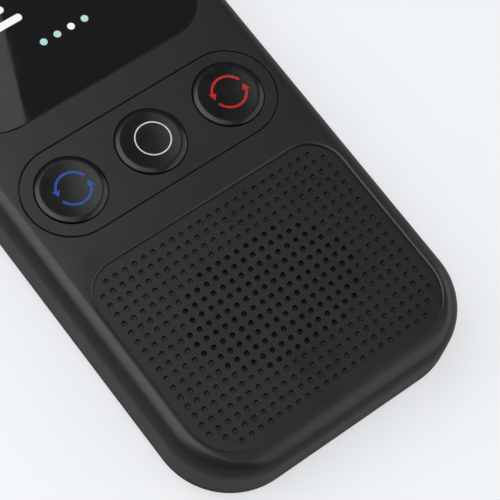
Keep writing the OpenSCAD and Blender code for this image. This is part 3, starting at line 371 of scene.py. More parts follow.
# Each card: its middle y, the half lengths of its two long lines, and their colour.
CARDS = [(42.4, (10.8, 7.6), WHITE_GLOW), (27.0, (11.6, 6.6), BLUE_GLOW)]
NAME_LINE = 5.6
TEXT_X = -14.2
TEXT_TOP, TEXT_PITCH, TEXT_H = 3.2, 3.0, 0.75
CAPTIONS = [(17.45, 4.25), (14.75, 5.1)]
CAPTION_H = 0.66
STATUS_Y = 51.3
# Each status mark: its middle x, half width, half height and corner radius.
STATUS = [(-14.8, 1.9, 0.5, 0.5), (14.6, 1.9, 0.8, 0.35)]
DOTS_X = (-3.78, -1.12, 1.55, 4.21)
DOTS_Y = 8.8
DOT_R = 0.62
PAGE_SHOWN = 2


def text_line(y, half_w, half_h, colour):
    """A bar that starts at the text's left edge."""
    return (TEXT_X + half_w, y, half_w, half_h, half_h, colour)


def screen_marks():
    """Rows of (middle x, middle y, half width, half height, corner radius, colour)."""
    marks = []
    for middle_y, lengths, colour in CARDS:
        marks.append((0.0, middle_y, *CARD, CARD_GLOW))
        lines = [(NAME_LINE, LINE_GLOW)] + [(length, colour) for length in lengths]
        for row, (length, tone) in enumerate(lines):
            y = middle_y + TEXT_TOP - row * TEXT_PITCH
            marks.append(text_line(y, length, TEXT_H, tone))
    marks += [text_line(y, length, CAPTION_H, WHITE_GLOW) for y, length in CAPTIONS]
    marks += [(x, STATUS_Y, *size, LINE_GLOW) for x, *size in STATUS]
    for page, x in enumerate(DOTS_X):
        tone = WHITE_GLOW if page == PAGE_SHOWN else TEAL_GLOW
        marks.append((x, DOTS_Y, DOT_R, DOT_R, DOT_R, tone))
    return marks


print("the screen shows", len(screen_marks()), "marks")

# %% The screen's glass
GLASS_BLACK = (0.0055, 0.0055, 0.0055)
POLISH = 0.02
GREASE = 0.025
SPECK_ROUGH = 0.4
SCREEN_DUST = 3.2
FACE_SKIN = 0.3


def screen_material():
    """Black glass whose lit area is a shade bluer, with the marks laid over each other. Only
    the slab's upper skin glows."""
    material, tree = new_material("screen_glass")
    x, y, z = split_mm(tree)

    def mask(values):
        return place_group(tree, BAR, X=x, Y=y, **dict(zip(BAR_PLACE, values)))

    glow = mixed(tree, mask(ACTIVE_AREA), UNLIT, LIT_BLACK)
    for *place, colour in screen_marks():
        glow = mixed(tree, mask(place), glow, colour)
    above = math_node(tree, "GREATER_THAN", z, face_z - FACE_SKIN)
    inputs = tree.nodes["Principled BSDF"].inputs
    tree.links.new(mixed(tree, above, UNLIT, glow), inputs["Emission Color"])
    inputs["Emission Strength"].default_value = 1.0
    greasy = math_node(tree, "MULTIPLY_ADD", place_group(tree, HANDLING), GREASE, POLISH)
    specks = place_group(tree, DUST, Spacing=SCREEN_DUST)
    rough = math_node(tree, "MULTIPLY_ADD", specks, SPECK_ROUGH, greasy)
    return dressed(material, GLASS_BLACK, rough)


screen_glass = screen_material()
print("screen glass has", len(screen_glass.node_tree.nodes), "nodes")

# %% [markdown]
# ## Inks and the finishes inside
# The printed marks are flat ink. Little of the inside shows, but every piece gets the finish
# its real counterpart has: pressed steel with rolling marks, gold-faced strips, a green
# lacquered board with its tracks, foam, foil and moulded sockets. Each could be a material of
# its own, but they all follow one recipe: a pattern moves the colour between two tones,
# roughens the same places and lifts them. So the recipe is one function, and only the pattern,
# the tones and a few numbers change.

# %% The recipe and the inks
INK_PATCH = 0.5
INK_THIN = 0.86
INK_ROUGH, THIN_ROUGHER = 0.42, 0.15


def two_tone(name, pattern, first, second, rough, rougher, bump_um=0.0, metallic=0.0):
    """A finish from one pattern. pattern(tree) gives a mask and a height: the mask moves the
    colour from first to second and adds rougher to rough, and the height is the bump."""
    material, tree = new_material(name)
    mask, height = pattern(tree)
    tone = mixed(tree, mask, first, second)
    roughness = math_node(tree, "MULTIPLY_ADD", mask, rougher, rough)
    return dressed(material, tone, roughness, height, bump_um, metallic)


def ink_film(tree):
    """Nearly even, a little thinner and paler where the printing pad lifted."""
    return ramp(tree, noise(tree, object_place(tree), INK_PATCH, detail=3.0), 0.35, 0.75), None


def ink(name, colour):
    thin = tuple(INK_THIN * c for c in colour)
    return two_tone(name, ink_film, colour, thin, INK_ROUGH, THIN_ROUGHER)


blue_ink = ink("blue_ink", (0.005, 0.06, 0.34))
red_ink = ink("red_ink", (0.50, 0.004, 0.008))
white_ink = ink("white_ink", (0.68, 0.68, 0.68))
print("inks", [made.name for made in (blue_ink, red_ink, white_ink)])

# %% Metals, foil, nylon and coated glass
MOTTLE_ROUGHER = 0.12


def mottled(name, first, second, rough, size_mm, bump_um=2.0, metallic=0.0, stretch=(1, 1, 1)):
    """The recipe with a noise. stretch draws the noise out along an axis, as brushing does."""

    def pattern(tree):
        place = node(tree, "ShaderNodeMapping", {"Vector": object_place(tree), "Scale": stretch})
        grain = noise(tree, place.outputs[0], size_mm, detail=4.0, roughness=0.6)
        return ramp(tree, grain, 0.3, 0.7), grain

    return two_tone(name, pattern, first, second, rough, MOTTLE_ROUGHER, bump_um, metallic)


steel = mottled(
    "pressed_steel", (0.50, 0.51, 0.52), (0.62, 0.63, 0.64), 0.24, 1.2, 1.5, 1.0, (1, 12, 1)
)
gold_strip = mottled(
    "gold_strip", (0.60, 0.38, 0.13), (0.72, 0.50, 0.2), 0.3, 0.8, 3.0, 1.0, (8, 1, 1)
)
foil = mottled("foil_pouch", (0.52, 0.53, 0.55), (0.64, 0.65, 0.66), 0.3, 2.4, 30.0, 1.0)
ivory = mottled("ivory_nylon", (0.56, 0.53, 0.46), (0.64, 0.61, 0.54), 0.45, 0.6, 4.0)
black_nylon = mottled("black_nylon", (0.012, 0.012, 0.013), (0.02, 0.02, 0.021), 0.5, 0.5, 5.0)
phosphor = mottled("lamp_phosphor", (0.72, 0.52, 0.08), (0.8, 0.64, 0.16), 0.6, 0.2, 6.0)
panel_glass = mottled("panel_glass", (0.012, 0.013, 0.018), (0.018, 0.02, 0.026), 0.12, 4.0, 0.5)
lens_coat = mottled("lens_coat", (0.012, 0.016, 0.05), (0.03, 0.02, 0.07), 0.04, 1.5, 0.2)
print("mottled finishes made, such as", steel.name)

# %% Foam and board
FOAM_CELL = 0.28
TRACK_PITCH = 3.5


def foam_cells(tree):
    """Closed-cell foam: small dark pits between paler cell walls."""
    sockets = {"Vector": object_place(tree), "Scale": 1 / (FOAM_CELL * MM)}
    wall = ramp(tree, node(tree, "ShaderNodeTexVoronoi", sockets).outputs["Distance"], 0.25, 0.6)
    return wall, wall


def board_tracks(tree):
    """Lacquer over copper: tracks show as paler, slightly raised lines."""
    tracks = node(
        tree,
        "ShaderNodeTexVoronoi",
        {"Vector": object_place(tree), "Scale": 1 / (TRACK_PITCH * MM)},
        distance="MANHATTAN",
        feature="DISTANCE_TO_EDGE",
    )
    line = fade(tree, tracks.outputs["Distance"], 0.04, 0.09)
    return line, line


foam = two_tone(
    "black_foam", foam_cells, (0.006, 0.006, 0.0065), (0.016, 0.016, 0.017), 0.75, 0.15, 40.0
)
board = two_tone(
    "board_lacquer", board_tracks, (0.008, 0.07, 0.032), (0.02, 0.16, 0.07), 0.25, 0.1, 30.0
)
print("cell patterns made:", foam.name, "and", board.name)

# %% Turned metal, camera glass and lamp lens
ring_low, ring_high = box_mm("camera_ring")
lamp_low, lamp_high = box_mm("lamp_lens")
CAMERA_SPOT = centre_of(ring_low, ring_high)
LAMP_SPOT = centre_of(lamp_low, lamp_high)
LATHE_WAVES, LAMP_WAVES = 70.0, 22.0
LAMP_MIDDLE = (0.4, 1.2)
MASK_EDGE = (2.05, 2.15)
MASK_BLACKS = ((0.004, 0.004, 0.005), (0.002, 0.002, 0.002))
COATING = [
    # (inner radius, outer radius, colour), each laid over the ones before it
    (1.5, 1.9, (0.008, 0.012, 0.05)),
    (0.7, 1.1, (0.03, 0.012, 0.06)),
    (0.35, 0.5, (0.001, 0.001, 0.002)),
]


def away_from(tree, spot):
    """Distance in millimetres from an upright axis through spot, for turned pieces."""
    x, y, _ = split_mm(tree)
    across = math_node(tree, "SUBTRACT", x, float(spot[0]))
    along = math_node(tree, "SUBTRACT", y, float(spot[1]))
    square = math_node(tree, "MULTIPLY", across, across)
    return math_node(tree, "SQRT", math_node(tree, "MULTIPLY_ADD", along, along, square))


def waves(tree, distance, per_mm):
    """A sine of the distance, with per_mm radians to a millimetre."""
    return math_node(tree, "SINE", math_node(tree, "MULTIPLY", distance, per_mm))


def lathe_rings(tree):
    """The fine rings that a lathe tool leaves."""
    mask = ramp(tree, waves(tree, away_from(tree, CAMERA_SPOT), LATHE_WAVES), -1.0, 1.0)
    return mask, mask


def lamp_steps(tree):
    """Yellower in the middle, with fine moulded steps."""
    away = away_from(tree, LAMP_SPOT)
    return fade(tree, away, *LAMP_MIDDLE), waves(tree, away, LAMP_WAVES)


def camera_window():
    """A black mask with the lens's coated face in its middle, as rings of their own tones."""
    material, tree = new_material("camera_glass")
    away = away_from(tree, CAMERA_SPOT)
    tone = mixed(tree, ramp(tree, away, *MASK_EDGE), *MASK_BLACKS)
    for inner, outer, colour in COATING:
        tone = mixed(tree, fade(tree, away, inner, outer), tone, colour)
    rough = math_node(tree, "MULTIPLY_ADD", place_group(tree, HANDLING), 0.06, 0.03)
    return dressed(material, tone, rough)


ring_metal = two_tone(
    "trim_metal", lathe_rings, (0.10, 0.102, 0.108), (0.15, 0.152, 0.16), 0.22, 0.08, 2.0, 1.0
)
camera_glass = camera_window()
lamp_clear = two_tone(
    "lamp_clear", lamp_steps, (0.55, 0.55, 0.52), (0.62, 0.52, 0.2), 0.08, 0.05, 15.0
)
print("camera at", np.round(CAMERA_SPOT, 2), "lamp at", np.round(LAMP_SPOT, 2))

# %% Dress the inner pieces
SLOT_FINISH = {
    "case": case_plastic,
    "cover": cover_plastic,
    "grille": plate_plastic,
    "key": key_plastic,
    "glass": screen_glass,
    "panel": panel_glass,
    "metal": steel,
    "brass": gold_strip,
    "black_part": black_nylon,
    "foam": foam,
    "board": board,
    "ivory": ivory,
    "foil": foil,
    "lens": lens_coat,
    "clear": lamp_clear,
    "lamp": phosphor,
}
for row in frame["record"]["subparts"]:
    for held in nodes[row["node"]].material_slots:
        held.material = SLOT_FINISH[row["material_slot"]]
print("dressed", len(nodes), "construction pieces in", len(SLOT_FINISH), "finishes")

# %% [markdown]
# ## Surfaces from outlines
# Nearly every outer piece has the same plan shape: a rectangle with round corners. An oval is
# one whose corners meet, and a circle is one with no straight sides at all. Such pieces could be
# boxes with bevels and Booleans, but a bevel can't follow the curved face and Booleans leave
# untidy faces. So the outline is one function, and a surface is that outline carried through a
# profile of offsets and heights. A flat area between outlines is filled by triangulation.
# The walk along an outline is anticlockwise and the profile runs from outside up, over the top
# and down into the openings, so every face points out of the material by itself.

# %% Outlines and rings
TOUCH = 1e-6
FINE_STEPS = 24


def outline(width, length, radius, centre=(0.0, 0.0), arc_steps=16, side_step=4.0):
    """Walks anticlockwise round a rectangle with round corners: (points, outward normals).
    A corner point is the corner's centre plus the radius times (cos a, sin a); a side point
    divides the straight run between two corners evenly. radius may be a pair of values, the
    first for the two corners at +Y and the second for the two at -Y."""
    upper, lower = np.broadcast_to(radius, 2)
    radii = np.array([upper, upper, lower, lower])
    signs = np.array([[1, 1], [-1, 1], [-1, -1], [1, -1]])
    middles = signs * (np.array([width, length]) / 2 - radii[:, None])
    points, normals = [], []
    for corner in range(4):
        turn = np.linspace(0, math.pi / 2, arc_steps + 1) + corner * math.pi / 2
        ray = np.column_stack([np.cos(turn), np.sin(turn)])
        arc = middles[corner] + radii[corner] * ray
        following = (corner + 1) % 4
        gap = middles[following] + radii[following] * ray[-1] - arc[-1]
        steps = max(1, round(np.linalg.norm(gap) / side_step))
        share = np.arange(1, steps)[:, None] / steps
        meets = np.linalg.norm(gap) < TOUCH
        points += [arc[:-1] if meets else arc, arc[-1] + share * gap]
        normals += [ray[:-1] if meets else ray, np.repeat(ray[-1:], steps - 1, axis=0)]
    return np.concatenate(points) + np.array(centre), np.concatenate(normals)


def circle(spot, radius, steps=12):
    """A full circle: an outline with no straight sides. steps counts one quarter of it."""
    return outline(2 * radius, 2 * radius, radius, spot, arc_steps=steps)


def grown(low, high, gap, radius, **steps):
    """The outline round a construction box with a gap added on every side."""
    size = (high - low)[:2] + 2 * gap
    return outline(size[0], size[1], radius, centre_of(low, high), **steps)


def rings(shape, profile):
    """Carries a profile of (offset, height) rows round an outline. Row k of the grid is each
    outline point moved out by offset k along its normal, at height k."""
    points, normals = shape
    offset, height = np.asarray(profile, float).T
    flat = points[None] + offset[:, None, None] * normals[None]
    level = np.broadcast_to(height[:, None, None], (*flat.shape[:2], 1))
    return np.concatenate([flat, level], axis=2)


def wall(shape, *heights):
    """A straight wall on an outline, with a ring at each height."""
    return rings(shape, [(0.0, height) for height in heights])


def turned(spot, profile, steps=16):
    """A profile of (radius, height) rows carried round an upright axis through spot."""
    profile = np.asarray(profile)
    widest = profile[:, 0].max()
    return rings(circle(spot, widest, steps), profile - [widest, 0.0])


def quarter_round(radius, steps=4):
    """(run, rise) of a quarter circle that turns from straight up to level, both from 0."""
    turn = np.linspace(0, math.pi / 2, steps + 1)
    return np.column_stack([radius * (1 - np.cos(turn)), radius * np.sin(turn)])


print("a circle of 12 steps a quarter has", len(circle((0, 0), 1.0)[0]), "points")

# %% Filling outlines
FILL_TOUCH = 1e-7


def fill(outer, holes=(), extra=None):
    """Triangles that fill the outline outer and leave the holes open: (points, triangles).
    Outlines may carry heights, which are ignored. extra holds loose points that the
    triangulation also takes in. A triangle is kept where only the first outline owns it."""
    loops = [loop[:, :2] for loop in (outer, *holes)]
    count = [len(loop) for loop in loops]
    first = np.cumsum([0, *count[:-1]])
    places = np.concatenate([*loops, *([] if extra is None else [extra])])
    walls = [list(range(a, a + n)) for a, n in zip(first, count)]
    _, _, faces, sources, _, owners = delaunay_2d_cdt(
        [Vector(place) for place in places], [], walls, 1, FILL_TOUCH
    )
    points = places[[source[0] for source in sources]]
    tris = np.array([face for face, owner in zip(faces, owners) if owner == [0]])
    a, b, c = (points[tris[:, k]] for k in range(3))
    turn = (b - a)[:, 0] * (c - a)[:, 1] - (b - a)[:, 1] * (c - a)[:, 0]
    tris[turn < 0] = tris[turn < 0][:, ::-1]
    return points, tris


ring_of_two = fill(circle((0, 0), 2.0)[0], [circle((0, 0), 1.0)[0]])
print("a flat ring is filled with", len(ring_of_two[1]), "triangles")

# %% Collecting and welding


class Skin:
    """Collects the patches of one piece and welds them into a closed mesh."""

    def __init__(self, *grids):
        self.points, self.quads, self.tris, self.count = [], [], [], 0
        for grid in grids:
            self.rings(grid)

    def _take(self, points):
        first = self.count
        self.points.append(points)
        self.count += len(points)
        return first

    def rings(self, grid):
        """Quads between the rows of a grid whose columns close into a loop. Axes before the
        last three are copies of the same grid, such as the walls of many holes."""
        rows, columns = grid.shape[-3:-1]
        at = np.arange(grid.size // 3).reshape(-1, rows, columns)
        at = at + self._take(grid.reshape(-1, 3))
        there = np.roll(at, -1, axis=2)
        quads = np.stack([at[:, :-1], there[:, :-1], there[:, 1:], at[:, 1:]], axis=-1)
        self.quads.append(quads.reshape(-1, 4))

    def patch(self, points, tris):
        """Loose triangles."""
        self.tris.append(tris + self._take(points))

    def flat(self, outer, holes=(), height=None, up=True, extra=None):
        """Fills a ring less its holes, at the ring's own height or at height(x, y)."""
        points, tris = fill(outer, holes, extra)
        level = height(*points.T) if height else np.full(len(points), outer[0, 2])
        self.patch(np.column_stack([points, level]), tris if up else tris[:, ::-1])

    def stand(self, turn):
        """Stands what was made lying flat on a side of the case. turn holds the rows of a
        rotation that takes (along, up, out) to (x, y, z)."""
        self.points = [points @ turn.T for points in self.points]
        return self

    def weld(self):
        """Joins points that share a place to a tenth of a micrometre, and turns quads that
        have lost a side into triangles."""
        points = np.concatenate(self.points)
        _, keep, same = np.unique(
            np.round(points, 4), axis=0, return_index=True, return_inverse=True
        )
        quads = same.ravel()[np.concatenate(self.quads)]
        tris = same.ravel()[np.concatenate([np.zeros((0, 3), int), *self.tris])]
        for side in range(4):
            lost = quads[:, side] == quads[:, (side + 1) % 4]
            rest = [k for k in range(4) if k != side]
            tris = np.concatenate([tris, quads[lost][:, rest]])
            quads = quads[~lost]
        whole = (tris != np.roll(tris, 1, axis=1)).all(axis=1)
        return points[keep], quads, tris[whole]


def slab(outer, through=(), blind=()):
    """A closed piece between the first and the last ring of an outer wall. through holds the
    walls of holes from the top face down to the lower one, and blind those of dimples."""
    skin = Skin(outer, *through, *blind)
    skin.flat(outer[-1], [hole[0] for hole in (*through, *blind)])
    skin.flat(outer[0], [hole[-1] for hole in through], up=False)
    return skin


print("a plain disc has", len(slab(wall(circle((0, 0), 1.0), 0, 1)).weld()[0]), "points")

# %% From a skin to a piece
CREASE = 28.0


def mesh_from(name, points, quads, tris):
    mesh = bpy.data.meshes.new(name)
    mesh.vertices.add(len(points))
    mesh.vertices.foreach_set("co", (points * MM).astype(np.float32).ravel())
    corners = np.concatenate([quads.ravel(), tris.ravel()]).astype(np.int32)
    mesh.loops.add(len(corners))
    mesh.loops.foreach_set("vertex_index", corners)
    mesh.polygons.add(len(quads) + len(tris))
    starts = np.concatenate([np.arange(len(quads)) * 4, len(quads) * 4 + np.arange(len(tris)) * 3])
    mesh.polygons.foreach_set("loop_start", starts.astype(np.int32))
    mesh.update(calc_edges=True)
    mesh.validate()
    return mesh


def open_edges(mesh):
    """How many edges don't have exactly two faces. A closed skin has none."""
    edge = np.zeros(len(mesh.loops), np.int32)
    mesh.loops.foreach_get("edge_index", edge)
    return int((np.bincount(edge, minlength=len(mesh.edges)) != 2).sum())


def piece(name, skin, slot, replaced=None, body="case", material=None):
    """Makes a finished piece: smooth shaded apart from edges sharper than CREASE degrees. It
    takes its slot's finish if no other is named, and may stand for a construction piece."""
    mesh = mesh_from(name, *skin.weld())
    mesh.materials.append(material or SLOT_FINISH[slot])
    made = bpy.data.objects.new(name, mesh)
    bpy.context.scene.collection.objects.link(made)
    mesh.shade_smooth()
    mesh.set_sharp_from_angle(angle=math.radians(CREASE))
    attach(made, body)
    if replaced:
        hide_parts(replaced)
    print(name, len(mesh.polygons), "faces,", open_edges(mesh), "open edges")
    return made


# %% [markdown]
# ## The front housing
# This is the deep moulding that gives the device its form. Its side walls turn into the face
# through a shoulder of 4.5 mm radius that is cut short, so a soft crease runs round the face.
# At the speaker end the face also dips in a long curve and rolls over the edge. A sculpted or
# subdivided mesh could look like that, but its sizes would be hard to set. Here both shapes are
# drops below the face, and where they meet they are blended by a power mean: each drop is raised
# to a high power, the two are added, and the root is taken. That gives one smooth surface.

# %% Heights of the face
CORNER_R = 12.5
WALL = 1.2
SHOULDER_R = 4.5
SHOULDER_INSET = 2.5
SHOULDER_FOOT = face_z - math.sqrt(SHOULDER_R**2 - (SHOULDER_R - SHOULDER_INSET) ** 2)
END_CURVE_L = 10.0
END_CURVE_R = 40.0
END_ROUND_R = 3.5
BLEND_POWER = 6.0
CREASE_SOFTNESS = 0.3
CREASE_SAMPLES = 9

curve_start_y = cover_low[1] + END_CURVE_L
round_y = cover_low[1] + END_ROUND_R
round_z = (face_z - END_CURVE_R) + math.sqrt(
    (END_CURVE_R - END_ROUND_R) ** 2 - (curve_start_y - round_y) ** 2
)
round_angle = math.asin((curve_start_y - round_y) / (END_CURVE_R - END_ROUND_R))


def shoulder_drop(inset):
    """How far the shoulder's circle lies below the face, inset from the outline. The drop is
    averaged over a short run round the crease, which rounds it softly."""
    half = SHOULDER_INSET / 2
    reach = CREASE_SOFTNESS * np.clip((inset - half) / (half - CREASE_SOFTNESS), 0, 1)
    shares = np.linspace(-1, 1, CREASE_SAMPLES)
    total = 0.0
    for share in shares:
        across = np.clip(inset + share * reach, 0, SHOULDER_INSET)
        arc = SHOULDER_FOOT + np.sqrt(SHOULDER_R**2 - (SHOULDER_R - across) ** 2)
        total = total + (face_z - arc)
    return np.maximum(total / len(shares), 0.0)


def end_drop(y):
    """How far the face dips at the speaker end: a long arc, then a short one that is tangent."""
    past = np.maximum(curve_start_y - y, 0.0)
    long_arc = END_CURVE_R - np.sqrt(END_CURVE_R**2 - np.minimum(past, END_CURVE_L) ** 2)
    over = np.clip(round_y - y, -END_ROUND_R, END_ROUND_R)
    short_arc = face_z - (round_z + np.sqrt(END_ROUND_R**2 - over**2))
    turn_y = curve_start_y - END_CURVE_R * math.sin(round_angle)
    return np.where(y < turn_y, short_arc, long_arc)


def blended(first, second):
    """The power mean of two drops."""
    return (first**BLEND_POWER + second**BLEND_POWER) ** (1 / BLEND_POWER)


def inset_of(points, width, length, radius):
    """How far points lie inside a rectangle with round corners; below zero outside it. The
    distance to a corner's centre counts beyond it, and the nearer side counts elsewhere."""
    upper, lower = np.broadcast_to(radius, 2)
    corner = np.where(points[..., 1] > 0, upper, lower)
    past = np.abs(points) - (np.array([width, length]) / 2 - corner[..., None])
    beyond = np.linalg.norm(np.maximum(past, 0), axis=-1)
    return corner - beyond - np.minimum(past.max(axis=-1), 0)


def outer_height(x, y):
    """Height of the outer skin above any point of the plan."""
    inset = inset_of(np.stack([x, y], axis=-1), body_w, body_l, CORNER_R)
    return face_z - blended(shoulder_drop(inset), end_drop(y))


print("shoulder foot", round(SHOULDER_FOOT, 3), "end round centre", round(round_z, 3))

# %% Openings in the face
GLASS_R = 7.8
GLASS_GAP = 0.08
BEZEL_GAP = 0.06
BEZEL_SEAM = 0.08
PLATE_GAP = 0.06
RECESS_R = np.array([6.0, 8.0])
glass_low, glass_high = box_mm("cover_glass")
bezel_low, bezel_high = box_mm("key_bezel")
plate_low, plate_high = box_mm("speaker_grille")
bezel_r = (bezel_high - bezel_low)[1] / 2
bezel_room = BEZEL_GAP + BEZEL_SEAM
recess_z = plate_high[2]
recess_floor = plate_low[2]
body_shape = outline(body_w, body_l, CORNER_R, arc_steps=FINE_STEPS, side_step=2.0)
glass_opening = grown(glass_low, glass_high, GLASS_GAP, GLASS_R + GLASS_GAP)
bezel_opening = grown(
    bezel_low, bezel_high, bezel_room, bezel_r + bezel_room, arc_steps=FINE_STEPS
)
recess_shape = grown(plate_low, plate_high, PLATE_GAP, RECESS_R, side_step=1.0)
print("recess", recess_z, "floor", recess_floor, "glass seat", glass_low[2])

# %% The shoulder
STEEP_INSET = 1.9
FACE_INSET = 2.8
RECESS_FLARE = 0.5
EDGE_ROOM = 0.12
LEAST_CREASE = 0.05
STEEP_ROWS, CREASE_ROWS, CREASE_TRIES = 13, 11, 60


def off_recess(spots, room):
    """Which points lie further than room outside the recess."""
    size = (plate_high - plate_low)[:2] + 2 * PLATE_GAP
    return inset_of(spots - centre_of(plate_low, plate_high), *size, RECESS_R) < -room


def shoulder_insets():
    """The inset of every point of the shoulder: rows down its curve, then a few across the
    crease. Near the recess, whose corners reach the crease, the last rows stop short of it."""
    bend = np.linspace(0, math.acos(1 - STEEP_INSET / SHOULDER_R), STEEP_ROWS)
    points, normals = body_shape
    steep = np.repeat(SHOULDER_R * (1 - np.cos(bend))[:, None], len(points), axis=1)
    tries = np.linspace(STEEP_INSET, FACE_INSET, CREASE_TRIES)[:, None, None]
    free = off_recess(points - tries * normals, RECESS_FLARE + EDGE_ROOM)
    reach = np.where(free, tries[..., 0], STEEP_INSET + LEAST_CREASE).max(axis=0)
    share = np.linspace(0, 1, CREASE_ROWS + 1)[1:, None]
    return np.concatenate([steep, STEEP_INSET + share * (reach - STEEP_INSET)])


insets = shoulder_insets()
print("the shoulder has", len(insets), "rows and reaches", round(insets.max(), 2), "mm in")

# %% The recess's rim
BRIM_DROP = 0.3
BRIM_ROWS = 8
STRAIGHT_ROWS = 3
BRIM_TRIES = 6
BRIM_LEAST = 0.04
BRIM_SHARE = 0.7


def recess_brim():
    """The rounded rim of the recess: a quarter ellipse, run = RECESS_FLARE (1 - sin a) and
    drop = BRIM_DROP (1 - cos a), then a straight wall. It is narrow where the face has dipped,
    and its width there is found by trying it a few times."""
    points, normals = recess_shape
    width = np.full(len(points), RECESS_FLARE)
    for _ in range(BRIM_TRIES):
        edge = points + width[:, None] * normals
        climb = (outer_height(*edge.T) - recess_z) / (face_z - recess_z)
        width = np.clip(climb, BRIM_LEAST, 1.0) * RECESS_FLARE
    bend = np.linspace(0, math.pi / 2, BRIM_ROWS)[:, None]
    share = np.concatenate([1 - np.sin(bend), np.zeros((STRAIGHT_ROWS, 1))])
    flat = points + (share * width)[..., None] * normals
    top = outer_height(flat[..., 0], flat[..., 1])
    drop = np.minimum(BRIM_DROP, BRIM_SHARE * (top[:1] - recess_z))
    bent = top[:1] - (1 - np.cos(bend)) * drop
    down = np.linspace(0, 1, STRAIGHT_ROWS + 1)[1:, None]
    straight = bent[-1:] + down * (recess_z - bent[-1:])
    level = np.concatenate([top[:1], np.minimum(np.concatenate([bent, straight]), top)[1:]])
    return np.concatenate([flat, level[..., None]], axis=2)


brim = recess_brim()
print("the rim stands", round(float(np.ptp(brim[0, :, 2])), 2), "mm lower at the speaker end")

# %% The housing's outer skin
SEAM_EDGE = 0.06
LIP_R = 0.05
LIP_FLAT = 0.06
SPARE_STEP = (1.0, 0.8)
SPARE_ROOM = 0.3
SPARE_START = 4.0
SIDE_ROWS = 6
ADHESIVE_T = 0.15
ledge_z = glass_low[2] - ADHESIVE_T


def end_points():
    """Loose points round the recess, so that the curved end has short faces."""
    half = round(body_w / 2) - 1
    across, along = np.meshgrid(
        np.arange(-half, half + SPARE_STEP[0] / 2, SPARE_STEP[0]),
        np.arange(curve_start_y + SPARE_START, cover_low[1], -SPARE_STEP[1]),
    )
    spare = np.column_stack([across.ravel(), along.ravel()])
    in_face = inset_of(spare, body_w, body_l, CORNER_R) > FACE_INSET + SPARE_ROOM
    return spare[in_face & off_recess(spare, RECESS_FLARE + SPARE_ROOM)]


def lip_down(shape, bottom):
    """A rounded lip at the face and a straight wall below it."""
    bend = [(run, face_z - LIP_R + rise) for run, rise in quarter_round(LIP_R, 3)[::-1]]
    return rings(shape, [(LIP_R + LIP_FLAT, face_z), *bend, (0.0, bottom)])


glass_rows = lip_down(glass_opening, ledge_z)
bezel_rows = lip_down(bezel_opening, bezel_low[2])
foot = rings(body_shape, [(-SEAM_EDGE, seam_z), (0.0, seam_z + SEAM_EDGE)])


def housing_outside():
    """Walls, shoulder and face, with the rims of the three openings."""
    points, normals = body_shape
    flat = points - insets[..., None] * normals
    shell = np.concatenate([flat, outer_height(flat[..., 0], flat[..., 1])[..., None]], axis=2)
    share = np.linspace(0, 1, SIDE_ROWS)[:, None, None]
    side = foot[1] + share * (shell[0] - foot[1])
    skin = Skin(foot, side, shell, glass_rows, bezel_rows, brim)
    openings = [rows[0] for rows in (glass_rows, bezel_rows, brim)]
    skin.flat(shell[-1], openings, outer_height, extra=end_points())
    return skin


housing = housing_outside()
print("the outer skin has", housing.count, "points")

# %% The housing's inner skin
INNER_R = CORNER_R - WALL
INNER_ROUND = 0.9
LEDGE_T = 0.85
WINDOW_GAP = 0.3
WINDOW_R = 3.3
FRAME_RIM = 1.2
BLOCK_RIM = 1.0
WELL_R = 6.65
WELL_DEPTH = 2.05
WELL_FLOOR = 0.8
STEM_HOLE_R = 1.58
BED_T = 1.0
BED_RIM = 0.2
SIDES = ("left", "middle", "right")
inner_w, inner_l = body_w - 2 * WALL, body_l - 2 * WALL
ceiling_z = face_z - WALL
tray_box = box_mm("display_tray")
mesh_low, mesh_high = box_mm("speaker_mesh")
key_spots = [centre_of(*box_mm(side + "_button")) for side in SIDES]


def inner_height(x, y):
    """The hollow's upper skin: the ceiling, rounded at its rim, and sunk with the face."""
    inset = inset_of(np.stack([x, y], axis=-1), inner_w, inner_l, INNER_R)
    short = INNER_ROUND - np.clip(inset, 0, INNER_ROUND)
    rim = INNER_ROUND - np.sqrt(INNER_ROUND**2 - short**2)
    return ceiling_z - blended(rim, end_drop(y - WALL))


print("the hollow is", round(inner_w, 2), "x", round(inner_l, 2), "mm under", ceiling_z, "mm")

# %% The glass seat and the key wells


def glass_seat():
    """The ledge that the glass is stuck to, round the display's window."""
    under = ledge_z - LEDGE_T
    window = wall(grown(*tray_box, WINDOW_GAP, WINDOW_R), ledge_z, under)
    frame_wall = wall(grown(glass_low, glass_high, FRAME_RIM, GLASS_R), under, ceiling_z)
    housing.rings(window)
    housing.rings(frame_wall)
    housing.flat(glass_rows[-1], [window[0]])
    housing.flat(frame_wall[0], [window[-1]], up=False)
    return frame_wall[-1]


def key_wells():
    """A well for each key's flange, with a hole for its stem, in one thick block."""
    well_z = face_z - WELL_DEPTH
    block_z = well_z - WELL_FLOOR
    wells = [wall(circle(spot, WELL_R), bezel_low[2], well_z) for spot in key_spots]
    stems = [wall(circle(spot, STEM_HOLE_R, steps=6), well_z, block_z) for spot in key_spots]
    block_shape = grown(bezel_low, bezel_high, BLOCK_RIM, bezel_r + BLOCK_RIM)
    block_wall = wall(block_shape, block_z, ceiling_z)
    for rows in (*wells, *stems, block_wall):
        housing.rings(rows)
    housing.flat(bezel_rows[-1], [well[0] for well in wells])
    for well, stem in zip(wells, stems):
        housing.flat(well[-1], [stem[0]])
    housing.flat(block_wall[0], [stem[-1] for stem in stems], up=False)
    return block_wall[-1]


pads = [glass_seat(), key_wells()]
print("with the seat and the wells it has", housing.count, "points")

# %% The speaker bed and the hollow


